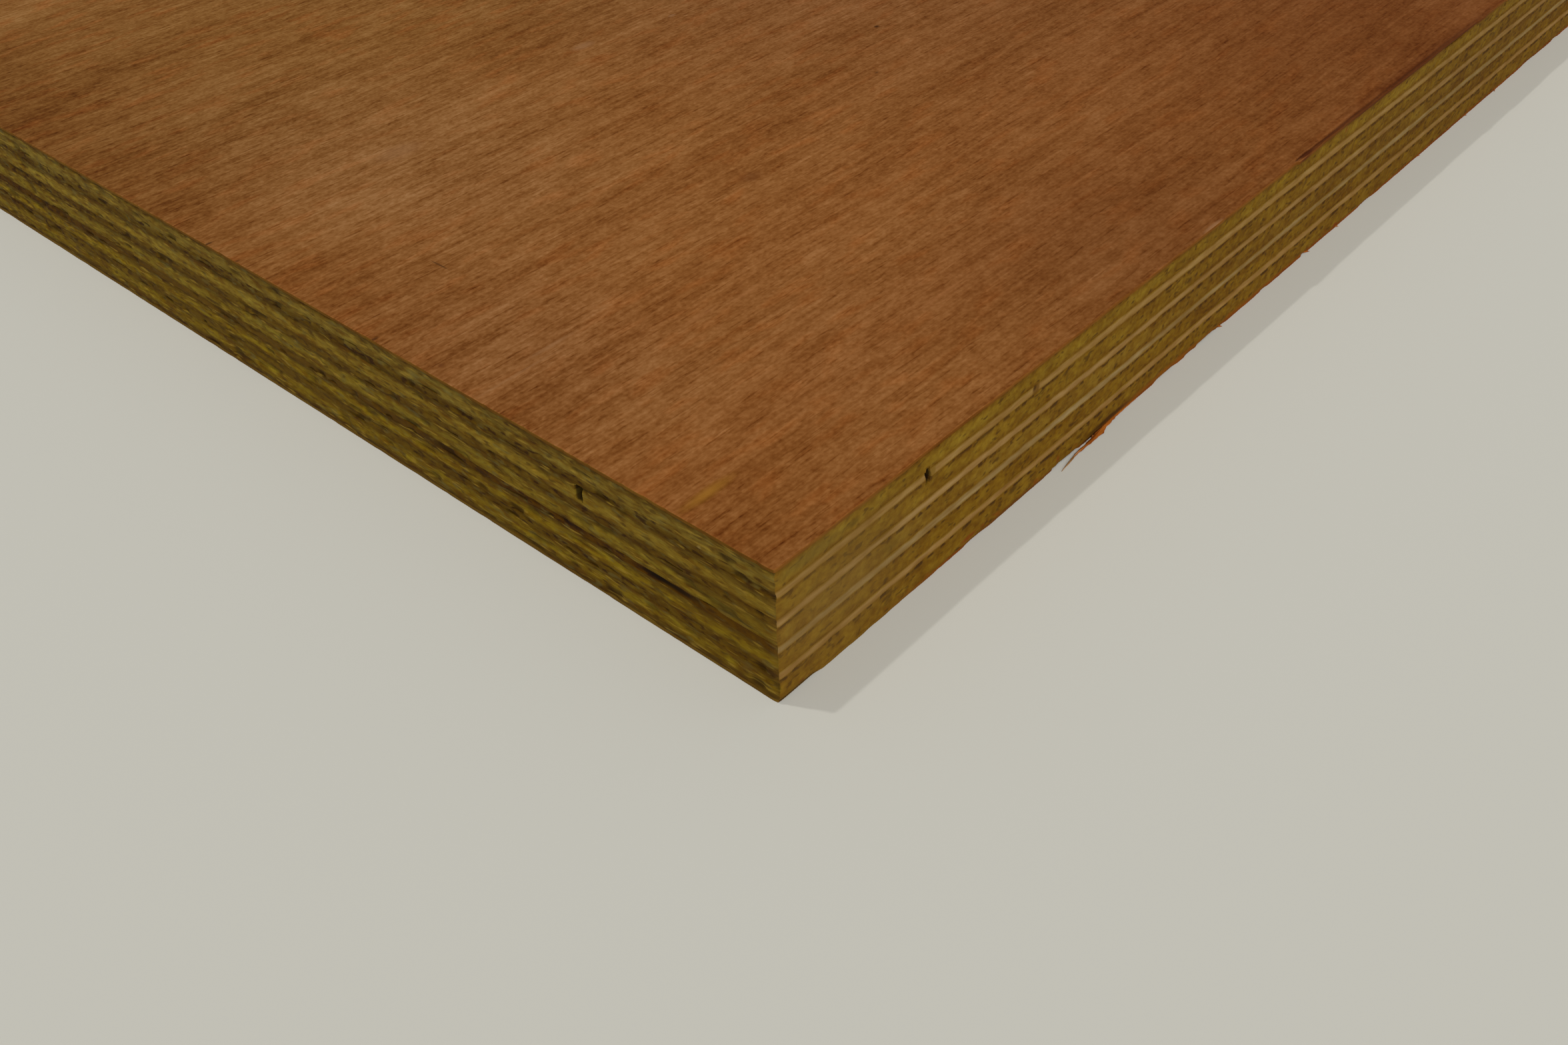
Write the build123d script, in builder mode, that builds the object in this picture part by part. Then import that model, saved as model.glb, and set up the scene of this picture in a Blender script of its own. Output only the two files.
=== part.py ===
import os

from build123d import *

os.makedirs("parts", exist_ok=True)

# Outline of the sheet, in millimetres. X runs along the grain of the two outer veneers, Y across it.
sheet_length = 2440.0
sheet_width = 1220.0

# Thickness of each veneer as pressed and sanded, from the underside up.
# The thin core veneers have their grain along the sheet, the thick ones between them across it.
back_thickness = 0.40
cross_1_thickness = 2.95
long_1_thickness = 1.10
cross_2_thickness = 2.50
long_2_thickness = 1.10
cross_3_thickness = 2.50
long_3_thickness = 1.10
cross_4_thickness = 2.60
long_4_thickness = 1.10
cross_5_thickness = 2.25
face_thickness = 0.40

# Core gap on the long sawn edge: two lengths of the top long veneer don't quite meet.
end_gap_from_corner = 23.25
end_gap_width = 0.7
end_gap_depth = 9.0

# The split that runs on from that gap, up into the cross veneer above it and down into the one below.
split_width = 0.5
split_rise = 0.35
split_drop = 0.55
split_depth = 5.0

# Core gap on the short sawn edge: a piece of the cross veneer is broken out, a little under its top.
break_from_corner = 27.25
break_width = 0.95
break_drop = 0.45
break_height = 1.8
break_depth = 7.0

# The lay-up, from the underside up: the name of each veneer and its thickness.
layup = (
    ("back_veneer", back_thickness),
    ("cross_veneer_1", cross_1_thickness),
    ("long_veneer_1", long_1_thickness),
    ("cross_veneer_2", cross_2_thickness),
    ("long_veneer_2", long_2_thickness),
    ("cross_veneer_3", cross_3_thickness),
    ("long_veneer_3", long_3_thickness),
    ("cross_veneer_4", cross_4_thickness),
    ("long_veneer_4", long_4_thickness),
    ("cross_veneer_5", cross_5_thickness),
    ("face_veneer", face_thickness),
)

# Height of each veneer's underside: every one lies on the veneer below it.
bottoms = {}
stack_height = 0.0
for name, thickness in layup:
    bottoms[name] = stack_height
    stack_height += thickness

# The corner of the outline that the core gaps are measured from.
corner_x = -sheet_length / 2
corner_y = -sheet_width / 2

# Mouth of each gap: its middle on the sheet's outline, then its size along X and Y. A gap is cut as far
# outside the outline as into it, so half of that size is its depth.
end_gap_mouth = (corner_x + end_gap_from_corner, corner_y)
end_gap_size = (end_gap_width, 2 * end_gap_depth)
split_size = (split_width, 2 * split_depth)
break_mouth = (corner_x, corner_y + break_from_corner)
break_size = (2 * break_depth, break_width)

# The gaps: the veneer each lies in, its mouth and size, its underside and its height.
cross_4_top = bottoms["long_veneer_4"]
cross_5_bottom = bottoms["cross_veneer_5"]
gaps = (
    ("long_veneer_4", end_gap_mouth, end_gap_size, cross_4_top, long_4_thickness),
    ("cross_veneer_5", end_gap_mouth, split_size, cross_5_bottom, split_rise),
    ("cross_veneer_4", end_gap_mouth, split_size, cross_4_top - split_drop, split_drop),
    ("cross_veneer_4", break_mouth, break_size, cross_4_top - break_drop - break_height, break_height),
)

for name, thickness in layup:
    with BuildPart() as veneer:
        with BuildSketch(Plane.XY.offset(bottoms[name])):
            Rectangle(sheet_length, sheet_width)
        extrude(amount=thickness)
        for gapped, mouth, gap_size, gap_bottom, gap_height in gaps:
            if gapped == name:
                with BuildSketch(Plane.XY.offset(gap_bottom)):
                    with Locations(mouth):
                        Rectangle(*gap_size)
                extrude(amount=gap_height, mode=Mode.SUBTRACT)
    veneer.part.label = name
    export_step(veneer.part, f"parts/{name}.step")
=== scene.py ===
"""Looks of a full plywood sheet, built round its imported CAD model.

The sheet lies on a pale floor and the camera looks down on one corner of it. Every veneer of the
sheet is made again as a closed shell: a profile carried round the outline of the sheet, rough where
the saw cut it and smooth where it was sanded. Shapes are worked out in millimetres from the corner
that the camera looks at, with X along the long edge, Y along the short edge and Z up.
"""

import logging
import math
from dataclasses import dataclass, replace
from enum import Enum

import bpy
import numpy as np
from mathutils import Matrix, Vector


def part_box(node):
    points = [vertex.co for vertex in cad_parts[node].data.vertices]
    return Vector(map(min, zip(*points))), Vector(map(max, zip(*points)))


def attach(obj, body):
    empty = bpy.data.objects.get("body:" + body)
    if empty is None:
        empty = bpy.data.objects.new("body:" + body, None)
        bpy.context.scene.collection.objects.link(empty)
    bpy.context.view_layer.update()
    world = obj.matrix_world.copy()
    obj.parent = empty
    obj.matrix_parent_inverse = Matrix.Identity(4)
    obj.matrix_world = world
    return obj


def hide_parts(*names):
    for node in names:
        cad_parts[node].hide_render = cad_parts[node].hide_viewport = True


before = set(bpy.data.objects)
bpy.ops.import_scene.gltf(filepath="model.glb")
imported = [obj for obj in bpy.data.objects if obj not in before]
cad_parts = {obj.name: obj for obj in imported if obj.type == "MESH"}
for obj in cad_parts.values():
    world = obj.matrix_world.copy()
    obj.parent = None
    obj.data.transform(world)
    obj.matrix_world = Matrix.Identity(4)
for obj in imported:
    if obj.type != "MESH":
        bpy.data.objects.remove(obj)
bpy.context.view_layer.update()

MM = 0.001
BAKE_MAP = "OFBake"
SMOOTH_ANGLE = math.radians(55.0)
NOISE_LEVELS = 64

# What the wood finishes share: their gloss, the darkest they get, how green and blue fall as they
# darken, and how far a seed moves a noise along X, Y and Z, in cells.
WOOD_SPECULAR = 0.06
DARKEST = 0.05
GREEN_POWER = 1.45
BLUE_POWER = 2.4
SEED_SHIFT = (7.31, 3.17, 5.93)

# First seeds, and what each next glue line or veneer adds, from the underside up.
LINE_SEED, LINE_SEED_STEP = 100, 7
VENEER_SEED, VENEER_SEED_STEP = 1000, 50

# The core gap and the split on the long edge and the gap on the short one: their middles and widths.
LONG_GAP, LONG_GAP_WIDTH, SPLIT_WIDTH = 23.25, 0.7, 0.5
SHORT_GAP, SHORT_GAP_WIDTH = 27.25, 0.95

Colour = tuple[float, float, float]
Triple = tuple[float, float, float]
Pair = tuple[float, float]

log = logging.getLogger("plywood_sheet")


class Sort(Enum):
    """The four sorts of veneer, by their place in the sheet and the way of their grain."""

    BACK = "underside, grain along the sheet"
    CROSS = "core, grain across the sheet"
    LONG = "core, grain along the sheet"
    FACE = "top, grain along the sheet"


class Edge(Enum):
    """The four sawn edges, in the order in which a walk round the sheet meets them."""

    NEAR_LONG = 0
    FAR_SHORT = 1
    FAR_LONG = 2
    NEAR_SHORT = 3

    @property
    def is_short(self) -> bool:
        """True for the two edges across the ends of the sheet."""
        return self in (Edge.FAR_SHORT, Edge.NEAR_SHORT)


class Slot(Enum):
    """The material slots of a veneer: its sanded face, its sawn edges and its glued faces."""

    SANDED = 0
    SAWN = 1
    GLUED = 2


def add_object(name: str, data: bpy.types.ID) -> bpy.types.Object:
    """Makes an object of that data and puts it in the scene.

    Args:
        name: the object's name.
        data: its mesh, lamp or camera.

    Returns:
        The object.
    """
    made = bpy.data.objects.new(name, data)
    bpy.context.scene.collection.objects.link(made)
    return made


def linear(red: int, green: int, blue: int) -> Colour:
    """Turns an 8-bit screen colour into the linear colour that a shader takes.

    Args:
        red: red from 0 to 255.
        green: green from 0 to 255.
        blue: blue from 0 to 255.

    Returns:
        The three linear parts, by the standard screen curve.
    """
    shares = np.array([red, green, blue]) / 255.0
    curve = np.where(shares <= 0.04045, shares / 12.92, ((shares + 0.055) / 1.055) ** 2.4)
    return tuple(float(part) for part in curve)


def smooth_step(share: np.ndarray) -> np.ndarray:
    """Smooth step of a share: 3 s squared less 2 s cubed, flat at 0 and at 1."""
    held = np.clip(share, 0.0, 1.0)
    return held * held * (3.0 - 2.0 * held)


def ring_noise(share: np.ndarray, cells: int, level: np.ndarray, seed: int) -> np.ndarray:
    """Smooth noise round a closed loop: random heights at whole cells, joined by smooth steps.

    Args:
        share: place round the loop, from 0 to 1.
        cells: how many cells the loop is divided into.
        level: place across the loop, in cells.
        seed: picks the random heights.

    Returns:
        Heights from -1 to 1, in the shape that share and level have together.
    """
    lattice = np.random.default_rng(seed).uniform(-1.0, 1.0, (cells, NOISE_LEVELS))
    along = share * cells
    cell = np.floor(along).astype(int)
    row = np.floor(level).astype(int)
    across_cell = smooth_step(along - cell)
    across_row = smooth_step(level - row)
    here, after = cell % cells, (cell + 1) % cells
    low, high = row % NOISE_LEVELS, (row + 1) % NOISE_LEVELS
    lower = lattice[here, low] * (1.0 - across_cell) + lattice[after, low] * across_cell
    upper = lattice[here, high] * (1.0 - across_cell) + lattice[after, high] * across_cell
    return lower * (1.0 - across_row) + upper * across_row


class Signal:
    """One socket of a shader node, with the operators that let shader maths read as Python."""

    def __init__(self, nodes: "FinishNodes", socket: bpy.types.NodeSocket) -> None:
        """Keeps the socket and the nodes that it belongs to."""
        self.nodes = nodes
        self.socket = socket

    def __add__(self, other: "Signal | float") -> "Signal":
        """The sum of the two."""
        return self.nodes.math("ADD", self, other)

    def __radd__(self, other: float) -> "Signal":
        """The sum of a number and this."""
        return self.nodes.math("ADD", other, self)

    def __sub__(self, other: "Signal | float") -> "Signal":
        """This less the other."""
        return self.nodes.math("SUBTRACT", self, other)

    def __rsub__(self, other: float) -> "Signal":
        """A number less this."""
        return self.nodes.math("SUBTRACT", other, self)

    def __mul__(self, other: "Signal | float") -> "Signal":
        """The product of the two."""
        return self.nodes.math("MULTIPLY", self, other)

    def __rmul__(self, other: float) -> "Signal":
        """The product of a number and this."""
        return self.nodes.math("MULTIPLY", other, self)

    def __pow__(self, other: float) -> "Signal":
        """This to the power of a number."""
        return self.nodes.math("POWER", self, other)

    def least(self, other: "Signal | float") -> "Signal":
        """The smaller of the two."""
        return self.nodes.math("MINIMUM", self, other)

    def most(self, other: "Signal | float") -> "Signal":
        """The larger of the two."""
        return self.nodes.math("MAXIMUM", self, other)


class FinishNodes:
    """The shader nodes of one finish, or of the world's light."""

    def __init__(self, owner: bpy.types.Material | bpy.types.World) -> None:
        """Empties the nodes of a material or world.

        Args:
            owner: the material or world.
        """
        self.owner = owner
        owner.use_nodes = True
        self.tree = owner.node_tree
        self.tree.nodes.clear()

    @classmethod
    def of(cls, name: str) -> "FinishNodes":
        """The empty nodes of a new material of that name."""
        return cls(bpy.data.materials.new(name))

    def node(self, kind: str, settings: dict, inputs: dict, output: str = "") -> Signal:
        """Adds a node.

        Args:
            kind: the node's type.
            settings: the node's own settings, which are set first.
            inputs: a value or a signal for each socket, by the socket's name or identifier.
            output: name or identifier of the output to use, or nothing for the first.

        Returns:
            The chosen output.
        """
        made = self.tree.nodes.new(kind)
        for setting, value in settings.items():
            setattr(made, setting, value)
        for key, value in inputs.items():
            socket = self.socket(made.inputs, key)
            if isinstance(value, Signal):
                self.tree.links.new(value.socket, socket)
            else:
                socket.default_value = value
        return Signal(self, self.socket(made.outputs, output))

    @staticmethod
    def socket(sockets: bpy.types.bpy_prop_collection, key: str) -> bpy.types.NodeSocket:
        """Finds a socket by identifier, then by name; no key means the first socket."""
        found = next((s for s in sockets if s.identifier == key), None) if key else sockets[0]
        return found or sockets[key]

    def math(self, operation: str, first: "Signal | float", second: "Signal | float" = 0.0) -> Signal:
        """A Math node on one or two values."""
        inputs = {"Value": first, "Value_001": second}
        return self.node("ShaderNodeMath", {"operation": operation}, inputs)

    def from_corner(self, corner: Vector) -> Signal:
        """Object coordinates counted in millimetres from the corner, whose own place is in metres."""
        coordinates = self.node("ShaderNodeTexCoord", {}, {}, "Object")
        return self.scaled(coordinates, (MM,) * 3, tuple(-part / MM for part in corner))

    def scaled(self, places: Signal, unit: Triple, shift: Triple) -> Signal:
        """Places divided by a unit along each of X, Y and Z, plus a shift in those units."""
        inputs = {"Vector": places, "Vector_001": tuple(1.0 / size for size in unit), "Vector_002": shift}
        return self.node("ShaderNodeVectorMath", {"operation": "MULTIPLY_ADD"}, inputs)

    def part(self, vector: Signal, axis: str) -> Signal:
        """The X, Y or Z part of a vector."""
        return self.node("ShaderNodeSeparateXYZ", {}, {"Vector": vector}, axis)

    def place(self, x: "Signal | float", y: "Signal | float", z: "Signal | float") -> Signal:
        """A vector of three values."""
        return self.node("ShaderNodeCombineXYZ", {}, {"X": x, "Y": y, "Z": z})

    def noise(self, places: Signal, pitch: Triple, seed: float, detail: float = 1.0) -> Signal:
        """Noise with cells of the given size.

        Args:
            places: where it is read, in millimetres.
            pitch: size of a cell along X, Y and Z, in millimetres.
            seed: moves the pattern, so that two noises differ.
            detail: how many finer layers are added.

        Returns:
            Values from 0 to 1, about 0.5 on average.
        """
        cells = self.scaled(places, pitch, tuple(seed * step for step in SEED_SHIFT))
        settings = {"noise_dimensions": "3D", "normalize": True}
        read = {"Vector": cells, "Scale": 1.0, "Detail": detail, "Roughness": 0.5}
        return self.node("ShaderNodeTexNoise", settings, read, "Fac")

    def rise(self, value: Signal, low: float, high: float) -> Signal:
        """A smooth step from 0 at low to 1 at high; high may be the smaller of the two.

        Args:
            value: what is stepped.
            low: where the step is 0.
            high: where the step is 1.

        Returns:
            Values from 0 to 1.
        """
        inputs = {"Value": value, "From Min": low, "From Max": high}
        if high < low:
            inputs = {"Value": value, "From Min": high, "From Max": low, "To Min": 1.0, "To Max": 0.0}
        return self.node("ShaderNodeMapRange", {"interpolation_type": "SMOOTHSTEP"}, inputs)

    def spot(self, places: Signal, centre: Triple, reach: Triple, edge: float) -> Signal:
        """A soft oval spot: 1 inside, fading to 0 at its reach over the edge's share of that."""
        away = self.scaled(places, reach, tuple(-middle / size for middle, size in zip(centre, reach)))
        return self.rise(self.size_of(away), 1.0, 1.0 - edge)

    def size_of(self, vector: Signal) -> Signal:
        """The length of a vector."""
        return self.node("ShaderNodeVectorMath", {"operation": "LENGTH"}, {"Vector": vector}, "Value")

    def mix(self, first: "Signal | tuple", second: "Signal | tuple", share: "Signal | float") -> Signal:
        """A colour between two.

        Args:
            first: the colour where the share is 0.
            second: the colour where the share is 1.
            share: how much of the second there is.

        Returns:
            The mixed colour.
        """
        first, second = (c if isinstance(c, Signal) else (*c, 1.0) for c in (first, second))
        inputs = {"Factor_Float": share, "A_Color": first, "B_Color": second}
        return self.node("ShaderNodeMix", {"data_type": "RGBA"}, inputs, "Result_Color")

    def shade(self, colour: "Signal | tuple", strength: Signal) -> Signal:
        """A colour made darker or lighter, and redder as it darkens.

        Args:
            colour: the colour.
            strength: below 1 to darken it and above 1 to lighten it.

        Returns:
            Red times the strength, and green and blue times higher powers of it.
        """
        held = strength.most(DARKEST)
        parts = self.place(held, held ** GREEN_POWER, held ** BLUE_POWER)
        inputs = {"Vector": colour, "Vector_001": parts}
        return self.node("ShaderNodeVectorMath", {"operation": "MULTIPLY"}, inputs)

    def carried(self, name: str) -> Signal:
        """A value that the mesh carries under that name."""
        return self.node("ShaderNodeAttribute", {"attribute_name": name}, {}, "Fac")

    def bump(self, height: Signal, depth: float) -> Signal:
        """The normal bent by a relief, of which 1 stands for the depth in millimetres."""
        inputs = {"Height": height, "Distance": depth * MM, "Strength": 1.0}
        return self.node("ShaderNodeBump", {}, inputs)

    def finish(self, colour: "Signal | tuple", roughness: "Signal | float", **others) -> bpy.types.Material:
        """Joins everything to the surface shader.

        Args:
            colour: the base colour.
            roughness: the surface's roughness.
            others: more inputs of the surface shader, by name.

        Returns:
            The finished material.
        """
        if not isinstance(colour, Signal):
            colour = (*colour, 1.0)
        inputs = {"Base Color": colour, "Roughness": roughness, "Specular IOR Level": WOOD_SPECULAR}
        inputs.update({name.replace("_", " ").title(): value for name, value in others.items()})
        return self.join_output(self.node("ShaderNodeBsdfPrincipled", {}, inputs))

    def join_output(self, surface: Signal, kind: str = "Material") -> bpy.types.Material | bpy.types.World:
        """Links a shader to the output.

        Args:
            surface: the shader.
            kind: Material or World, as the owner is.

        Returns:
            The owner.
        """
        output = self.tree.nodes.new(f"ShaderNodeOutput{kind}")
        self.tree.links.new(surface.socket, output.inputs["Surface"])
        return self.owner


@dataclass(frozen=True)
class Mark:
    """One mark on the wood: its middle, half its size along X, Y and Z, its colour and its strength."""

    centre: Triple
    reach: Triple
    colour: Colour
    strength: float
    edge: float = 0.8

    def paint(self, nodes: FinishNodes, places: Signal, colour: Signal) -> Signal:
        """Lays the mark over the colour so far."""
        share = nodes.spot(places, self.centre, self.reach, self.edge) * self.strength
        return nodes.mix(colour, self.colour, share)


# Height of the sanded face, and how deep a mark reaches into the wood from the face or from an edge.
FACE_HEIGHT = 18.0
FACE_MARK_DEPTH = 9.0
EDGE_MARK_DEPTH = 2.0


def on_face(x: float, y: float, along: float, across: float, *look: Colour | float) -> Mark:
    """A mark on the sanded face: its middle and half its size, then its colour, strength and edge."""
    return Mark((x, y, FACE_HEIGHT), (along, across, FACE_MARK_DEPTH), *look)


def on_long_edge(x: float, z: float, along: float, up: float, *look: Colour | float) -> Mark:
    """A mark on the near long edge, given in the same order."""
    return Mark((x, 0.0, z), (along, EDGE_MARK_DEPTH, up), *look)


def on_short_edge(y: float, z: float, along: float, up: float, *look: Colour | float) -> Mark:
    """A mark on the near short edge, given in the same order."""
    return Mark((0.0, y, z), (EDGE_MARK_DEPTH, along, up), *look)


GOLD_WOOD = linear(144, 98, 32)
LIGHT_WOOD = linear(152, 99, 56)
PALE_WOOD = linear(150, 110, 74)
OLIVE_WOOD = linear(118, 88, 30)
RED_WOOD = linear(112, 48, 12)
DEEP_WOOD = linear(88, 44, 14)
SPECK_WOOD = linear(60, 36, 9)
DARK_WOOD = linear(46, 24, 7)
# Painted shade for the crack behind the slivers.
CRACK_SHADE = linear(66, 27, 7)
BROKEN_WOOD = linear(76, 36, 11)
TORN_WOOD = linear(118, 68, 12)
# Painted shade for hollows, gaps and the gap behind the torn strip.
HOLLOW_SHADE = linear(24, 13, 5)


@dataclass(frozen=True)
class Texture:
    """One scale of unevenness in the colour: its cell along and across the grain, and its depth."""

    length: float
    width: float
    depth: float


@dataclass(frozen=True)
class Spots:
    """Spots that run with the grain: their cell, and the noise at which they start and are full."""

    length: float
    width: float
    start: float
    full: float
    strength: float
    seed: float
    detail: float = 1.0

    def share(self, nodes: FinishNodes, places: Signal, thickness: float, seed: float) -> Signal:
        """How far each place lies in a spot, by noise that is stepped from the start to the full value."""
        spread = nodes.noise(places, (self.length, self.width, thickness), seed + self.seed, self.detail)
        return nodes.rise(spread, self.start, self.full)


@dataclass(frozen=True)
class SandedFinish:
    """Sanded red-brown veneer: broken streaks along the grain, soft bands and blotches.

    Shades are broad marks that the grain shows through, and marks lie over the grain. A range says at
    what distance from an edge a change starts and where it is full.
    """

    name: str
    seed: float
    corner: Vector
    shades: tuple[Mark, ...] = ()
    marks: tuple[Mark, ...] = ()
    red_wood: Colour = linear(130, 79, 36)
    gold_wood: Colour = linear(129, 89, 43)
    warm_wood: Colour = linear(141, 80, 32)
    textures: tuple[Texture, ...] = (
        Texture(260.0, 45.0, 0.35), Texture(34.0, 11.0, 0.38), Texture(19.0, 3.2, 0.32),
        Texture(15.0, 1.4, 0.36), Texture(12.0, 0.7, 0.46), Texture(8.5, 0.34, 0.46),
        Texture(4.0, 2.6, 0.34), Texture(1.7, 1.1, 0.46), Texture(0.6, 0.42, 0.75),
    )
    texture_seed: float = 3.0
    bands: Spots = Spots(900.0, 60.0, 0.3, 0.7, 0.4, 2.0, 2.0)
    pores: Spots = Spots(3.2, 0.3, 0.58, 0.76, 0.24, 9.0)
    flecks: Spots = Spots(4.0, 0.7, 0.62, 0.82, 0.14, 10.0)
    warm: Spots = Spots(6.5, 2.2, 0.5, 0.75, 0.45, 11.0, 2.0)
    cell_thickness: float = 50.0
    bend: float = 2.5
    bend_cell: Triple = (120.0, 60.0, 50.0)
    gold_range: Pair = (10.0, 190.0)
    gold_strength: float = 0.6
    end_rim: Pair = (22.0, 0.0)
    side_rim: Pair = (0.7, 0.0)
    rim_darkening: float = 0.15
    inner_range: Pair = (60.0, 130.0)
    inner_darkening: float = 0.08
    lift: float = 0.02
    pore_depth: float = 0.3
    crack_strength: float = 0.7
    roughness: float = 0.78
    polish: float = 0.12
    relief: float = 0.04

    def grain(self, nodes: FinishNodes) -> tuple[Signal, Signal, Signal]:
        """The bare grain.

        Args:
            nodes: the finish's nodes.

        Returns:
            The places read, the colour and the relief.
        """
        straight = nodes.from_corner(self.corner)
        along, across = nodes.part(straight, "X"), nodes.part(straight, "Y")
        bend = (nodes.noise(straight, self.bend_cell, self.seed + 1.0, 2.0) - 0.5) * self.bend
        bent = nodes.place(along, across + bend, nodes.part(straight, "Z"))
        read = (nodes, bent, self.cell_thickness, self.seed)
        gold = self.bands.share(*read) * self.bands.strength
        gold = gold + nodes.rise(across, *self.gold_range) * self.gold_strength
        colour = nodes.mix(self.red_wood, self.gold_wood, gold)
        rim = nodes.rise(along, *self.end_rim) + nodes.rise(across, *self.side_rim)
        inner = nodes.rise(across, *self.inner_range)
        strength = 1.0 - rim * self.rim_darkening - inner * self.inner_darkening
        fine = 0.0
        for number, texture in enumerate(self.textures):
            pitch = (texture.length, texture.width, self.cell_thickness)
            spread = nodes.noise(bent, pitch, self.seed + self.texture_seed + number, 2.0)
            uneven = (spread - 0.5) * texture.depth
            strength = strength + uneven
            fine = uneven + fine
        colour = nodes.mix(colour, self.warm_wood, self.warm.share(*read) * self.warm.strength)
        for shade in self.shades:
            colour = shade.paint(nodes, straight, colour)
        pores, flecks = self.pores.share(*read), self.flecks.share(*read)
        strength = strength + self.lift - pores * self.pores.strength + flecks * self.flecks.strength
        return straight, nodes.shade(colour, strength), fine - pores * self.pore_depth

    def dress(self) -> bpy.types.Material:
        """Makes the material.

        Returns:
            The material, which reads the carried value hollow and paints shade down the crack.
        """
        nodes = FinishNodes.of(self.name)
        places, colour, height = self.grain(nodes)
        for mark in self.marks:
            colour = mark.paint(nodes, places, colour)
        # Painted shade down the crack, as deep as the carried hollow says.
        colour = nodes.mix(colour, CRACK_SHADE, nodes.carried("hollow") * self.crack_strength)
        bumps = nodes.bump(height, self.relief)
        return nodes.finish(colour, self.roughness - height * self.polish, normal=bumps)


FACE_SHADES = (
    on_face(175.0, 5.0, 160.0, 112.0, linear(91, 43, 9), 0.68, 1.0),
    on_face(400.0, 0.0, 330.0, 90.0, DEEP_WOOD, 0.42, 1.0),
    on_face(760.0, 10.0, 460.0, 70.0, DEEP_WOOD, 0.25, 1.0),
    on_face(72.0, 8.0, 38.0, 28.0, DEEP_WOOD, 0.38, 1.0),
    on_face(116.0, 95.0, 76.0, 66.0, linear(108, 66, 37), 0.36, 1.0),
    on_face(8.0, 48.0, 24.0, 34.0, linear(142, 102, 66), 0.22, 1.0),
    on_face(28.0, 98.0, 40.0, 58.0, linear(142, 104, 64), 0.28, 1.0),
    on_face(35.0, 18.0, 32.0, 24.0, DEEP_WOOD, 0.12, 1.0),
    on_face(0.0, 150.0, 50.0, 80.0, DEEP_WOOD, 0.12, 1.0),
    on_face(138.0, 0.9, 40.0, 1.3, DEEP_WOOD, 0.5),
)
FACE_MARKS = (
    on_face(110.5, 0.0, 8.0, 0.6, BROKEN_WOOD, 0.8, 0.5),
    on_face(120.0, 0.0, 9.0, 0.9, BROKEN_WOOD, 0.7, 0.7),
    on_face(146.0, 0.0, 28.0, 1.1, BROKEN_WOOD, 0.7, 0.8),
    # painted shade where the crack starts
    on_face(105.4, 0.2, 2.6, 0.5, CRACK_SHADE, 0.9, 0.6),
    on_face(4.4, 12.6, 5.2, 1.1, GOLD_WOOD, 0.8, 1.0),
    on_face(27.0, 35.4, 4.0, 0.6, LIGHT_WOOD, 0.35),
    on_face(34.0, 34.6, 3.5, 0.5, LIGHT_WOOD, 0.35),
    on_face(48.0, 16.7, 5.5, 0.35, LIGHT_WOOD, 0.4),
    on_face(31.0, 97.0, 5.0, 3.0, PALE_WOOD, 0.3),
    on_face(12.0, 44.2, 5.0, 0.5, PALE_WOOD, 0.3),
    on_face(6.0, 42.9, 8.0, 0.3, PALE_WOOD, 0.25),
    on_face(71.5, 103.5, 3.0, 1.5, PALE_WOOD, 0.45),
    on_face(88.5, 101.0, 1.1, 0.6, PALE_WOOD, 0.5),
    Mark((81.0, 0.2, 18.0), (3.2, 0.5, 0.2), PALE_WOOD, 0.6),
    on_face(55.5, 53.7, 2.4, 1.7, DEEP_WOOD, 0.4),
    on_face(15.4, 68.2, 0.22, 2.1, DARK_WOOD, 0.55, 0.6),
    on_face(104.8, 71.9, 0.7, 0.6, DARK_WOOD, 0.8),
    on_face(91.3, 61.1, 0.6, 0.25, DARK_WOOD, 0.6),
    on_face(1.8, 50.8, 0.6, 0.5, DEEP_WOOD, 0.6),
    on_face(0.2, 25.5, 0.7, 0.4, DEEP_WOOD, 0.6),
    on_face(0.3, 61.0, 1.0, 0.35, DARK_WOOD, 0.6),
    on_face(0.3, 88.8, 0.6, 0.35, DARK_WOOD, 0.5),
    on_face(0.3, 95.5, 1.1, 0.35, DARK_WOOD, 0.7),
)


@dataclass(frozen=True)
class EdgePlaces:
    """What patterns on a sawn edge read: places, and heights above the lower and below the upper line."""

    nodes: FinishNodes
    places: Signal
    rise: Signal
    drop: Signal


@dataclass(frozen=True)
class Flecks:
    """Small spots scattered over a sawn edge: their cell, how rare they are, and their colour.

    Under limits them to a strip below the upper glue line, and over to one above the lower. They are
    full over a share of that strip, and the fade says how fast a spot sets in.
    """

    length: float
    width: float
    rarity: float
    colour: Colour
    strength: float
    under: float = 0.0
    over: float = 0.0
    fade: float = 0.16
    under_full: float = 0.4
    over_full: float = 0.2

    def paint(self, edge: EdgePlaces, seed: float, colour: Signal) -> Signal:
        """Lays the flecks over the colour so far.

        Args:
            edge: what is read.
            seed: moves the pattern.
            colour: the colour so far.

        Returns:
            The colour with its flecks.
        """
        nodes = edge.nodes
        spread = nodes.noise(edge.places, (self.length, self.length, self.width), seed)
        share = nodes.rise(spread, self.rarity, self.rarity + self.fade) * self.strength
        if self.under:
            share = share * nodes.rise(edge.drop, self.under, self.under_full * self.under)
        if self.over:
            share = share * nodes.rise(edge.rise, self.over, self.over_full * self.over)
        return nodes.mix(colour, self.colour, share)


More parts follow.
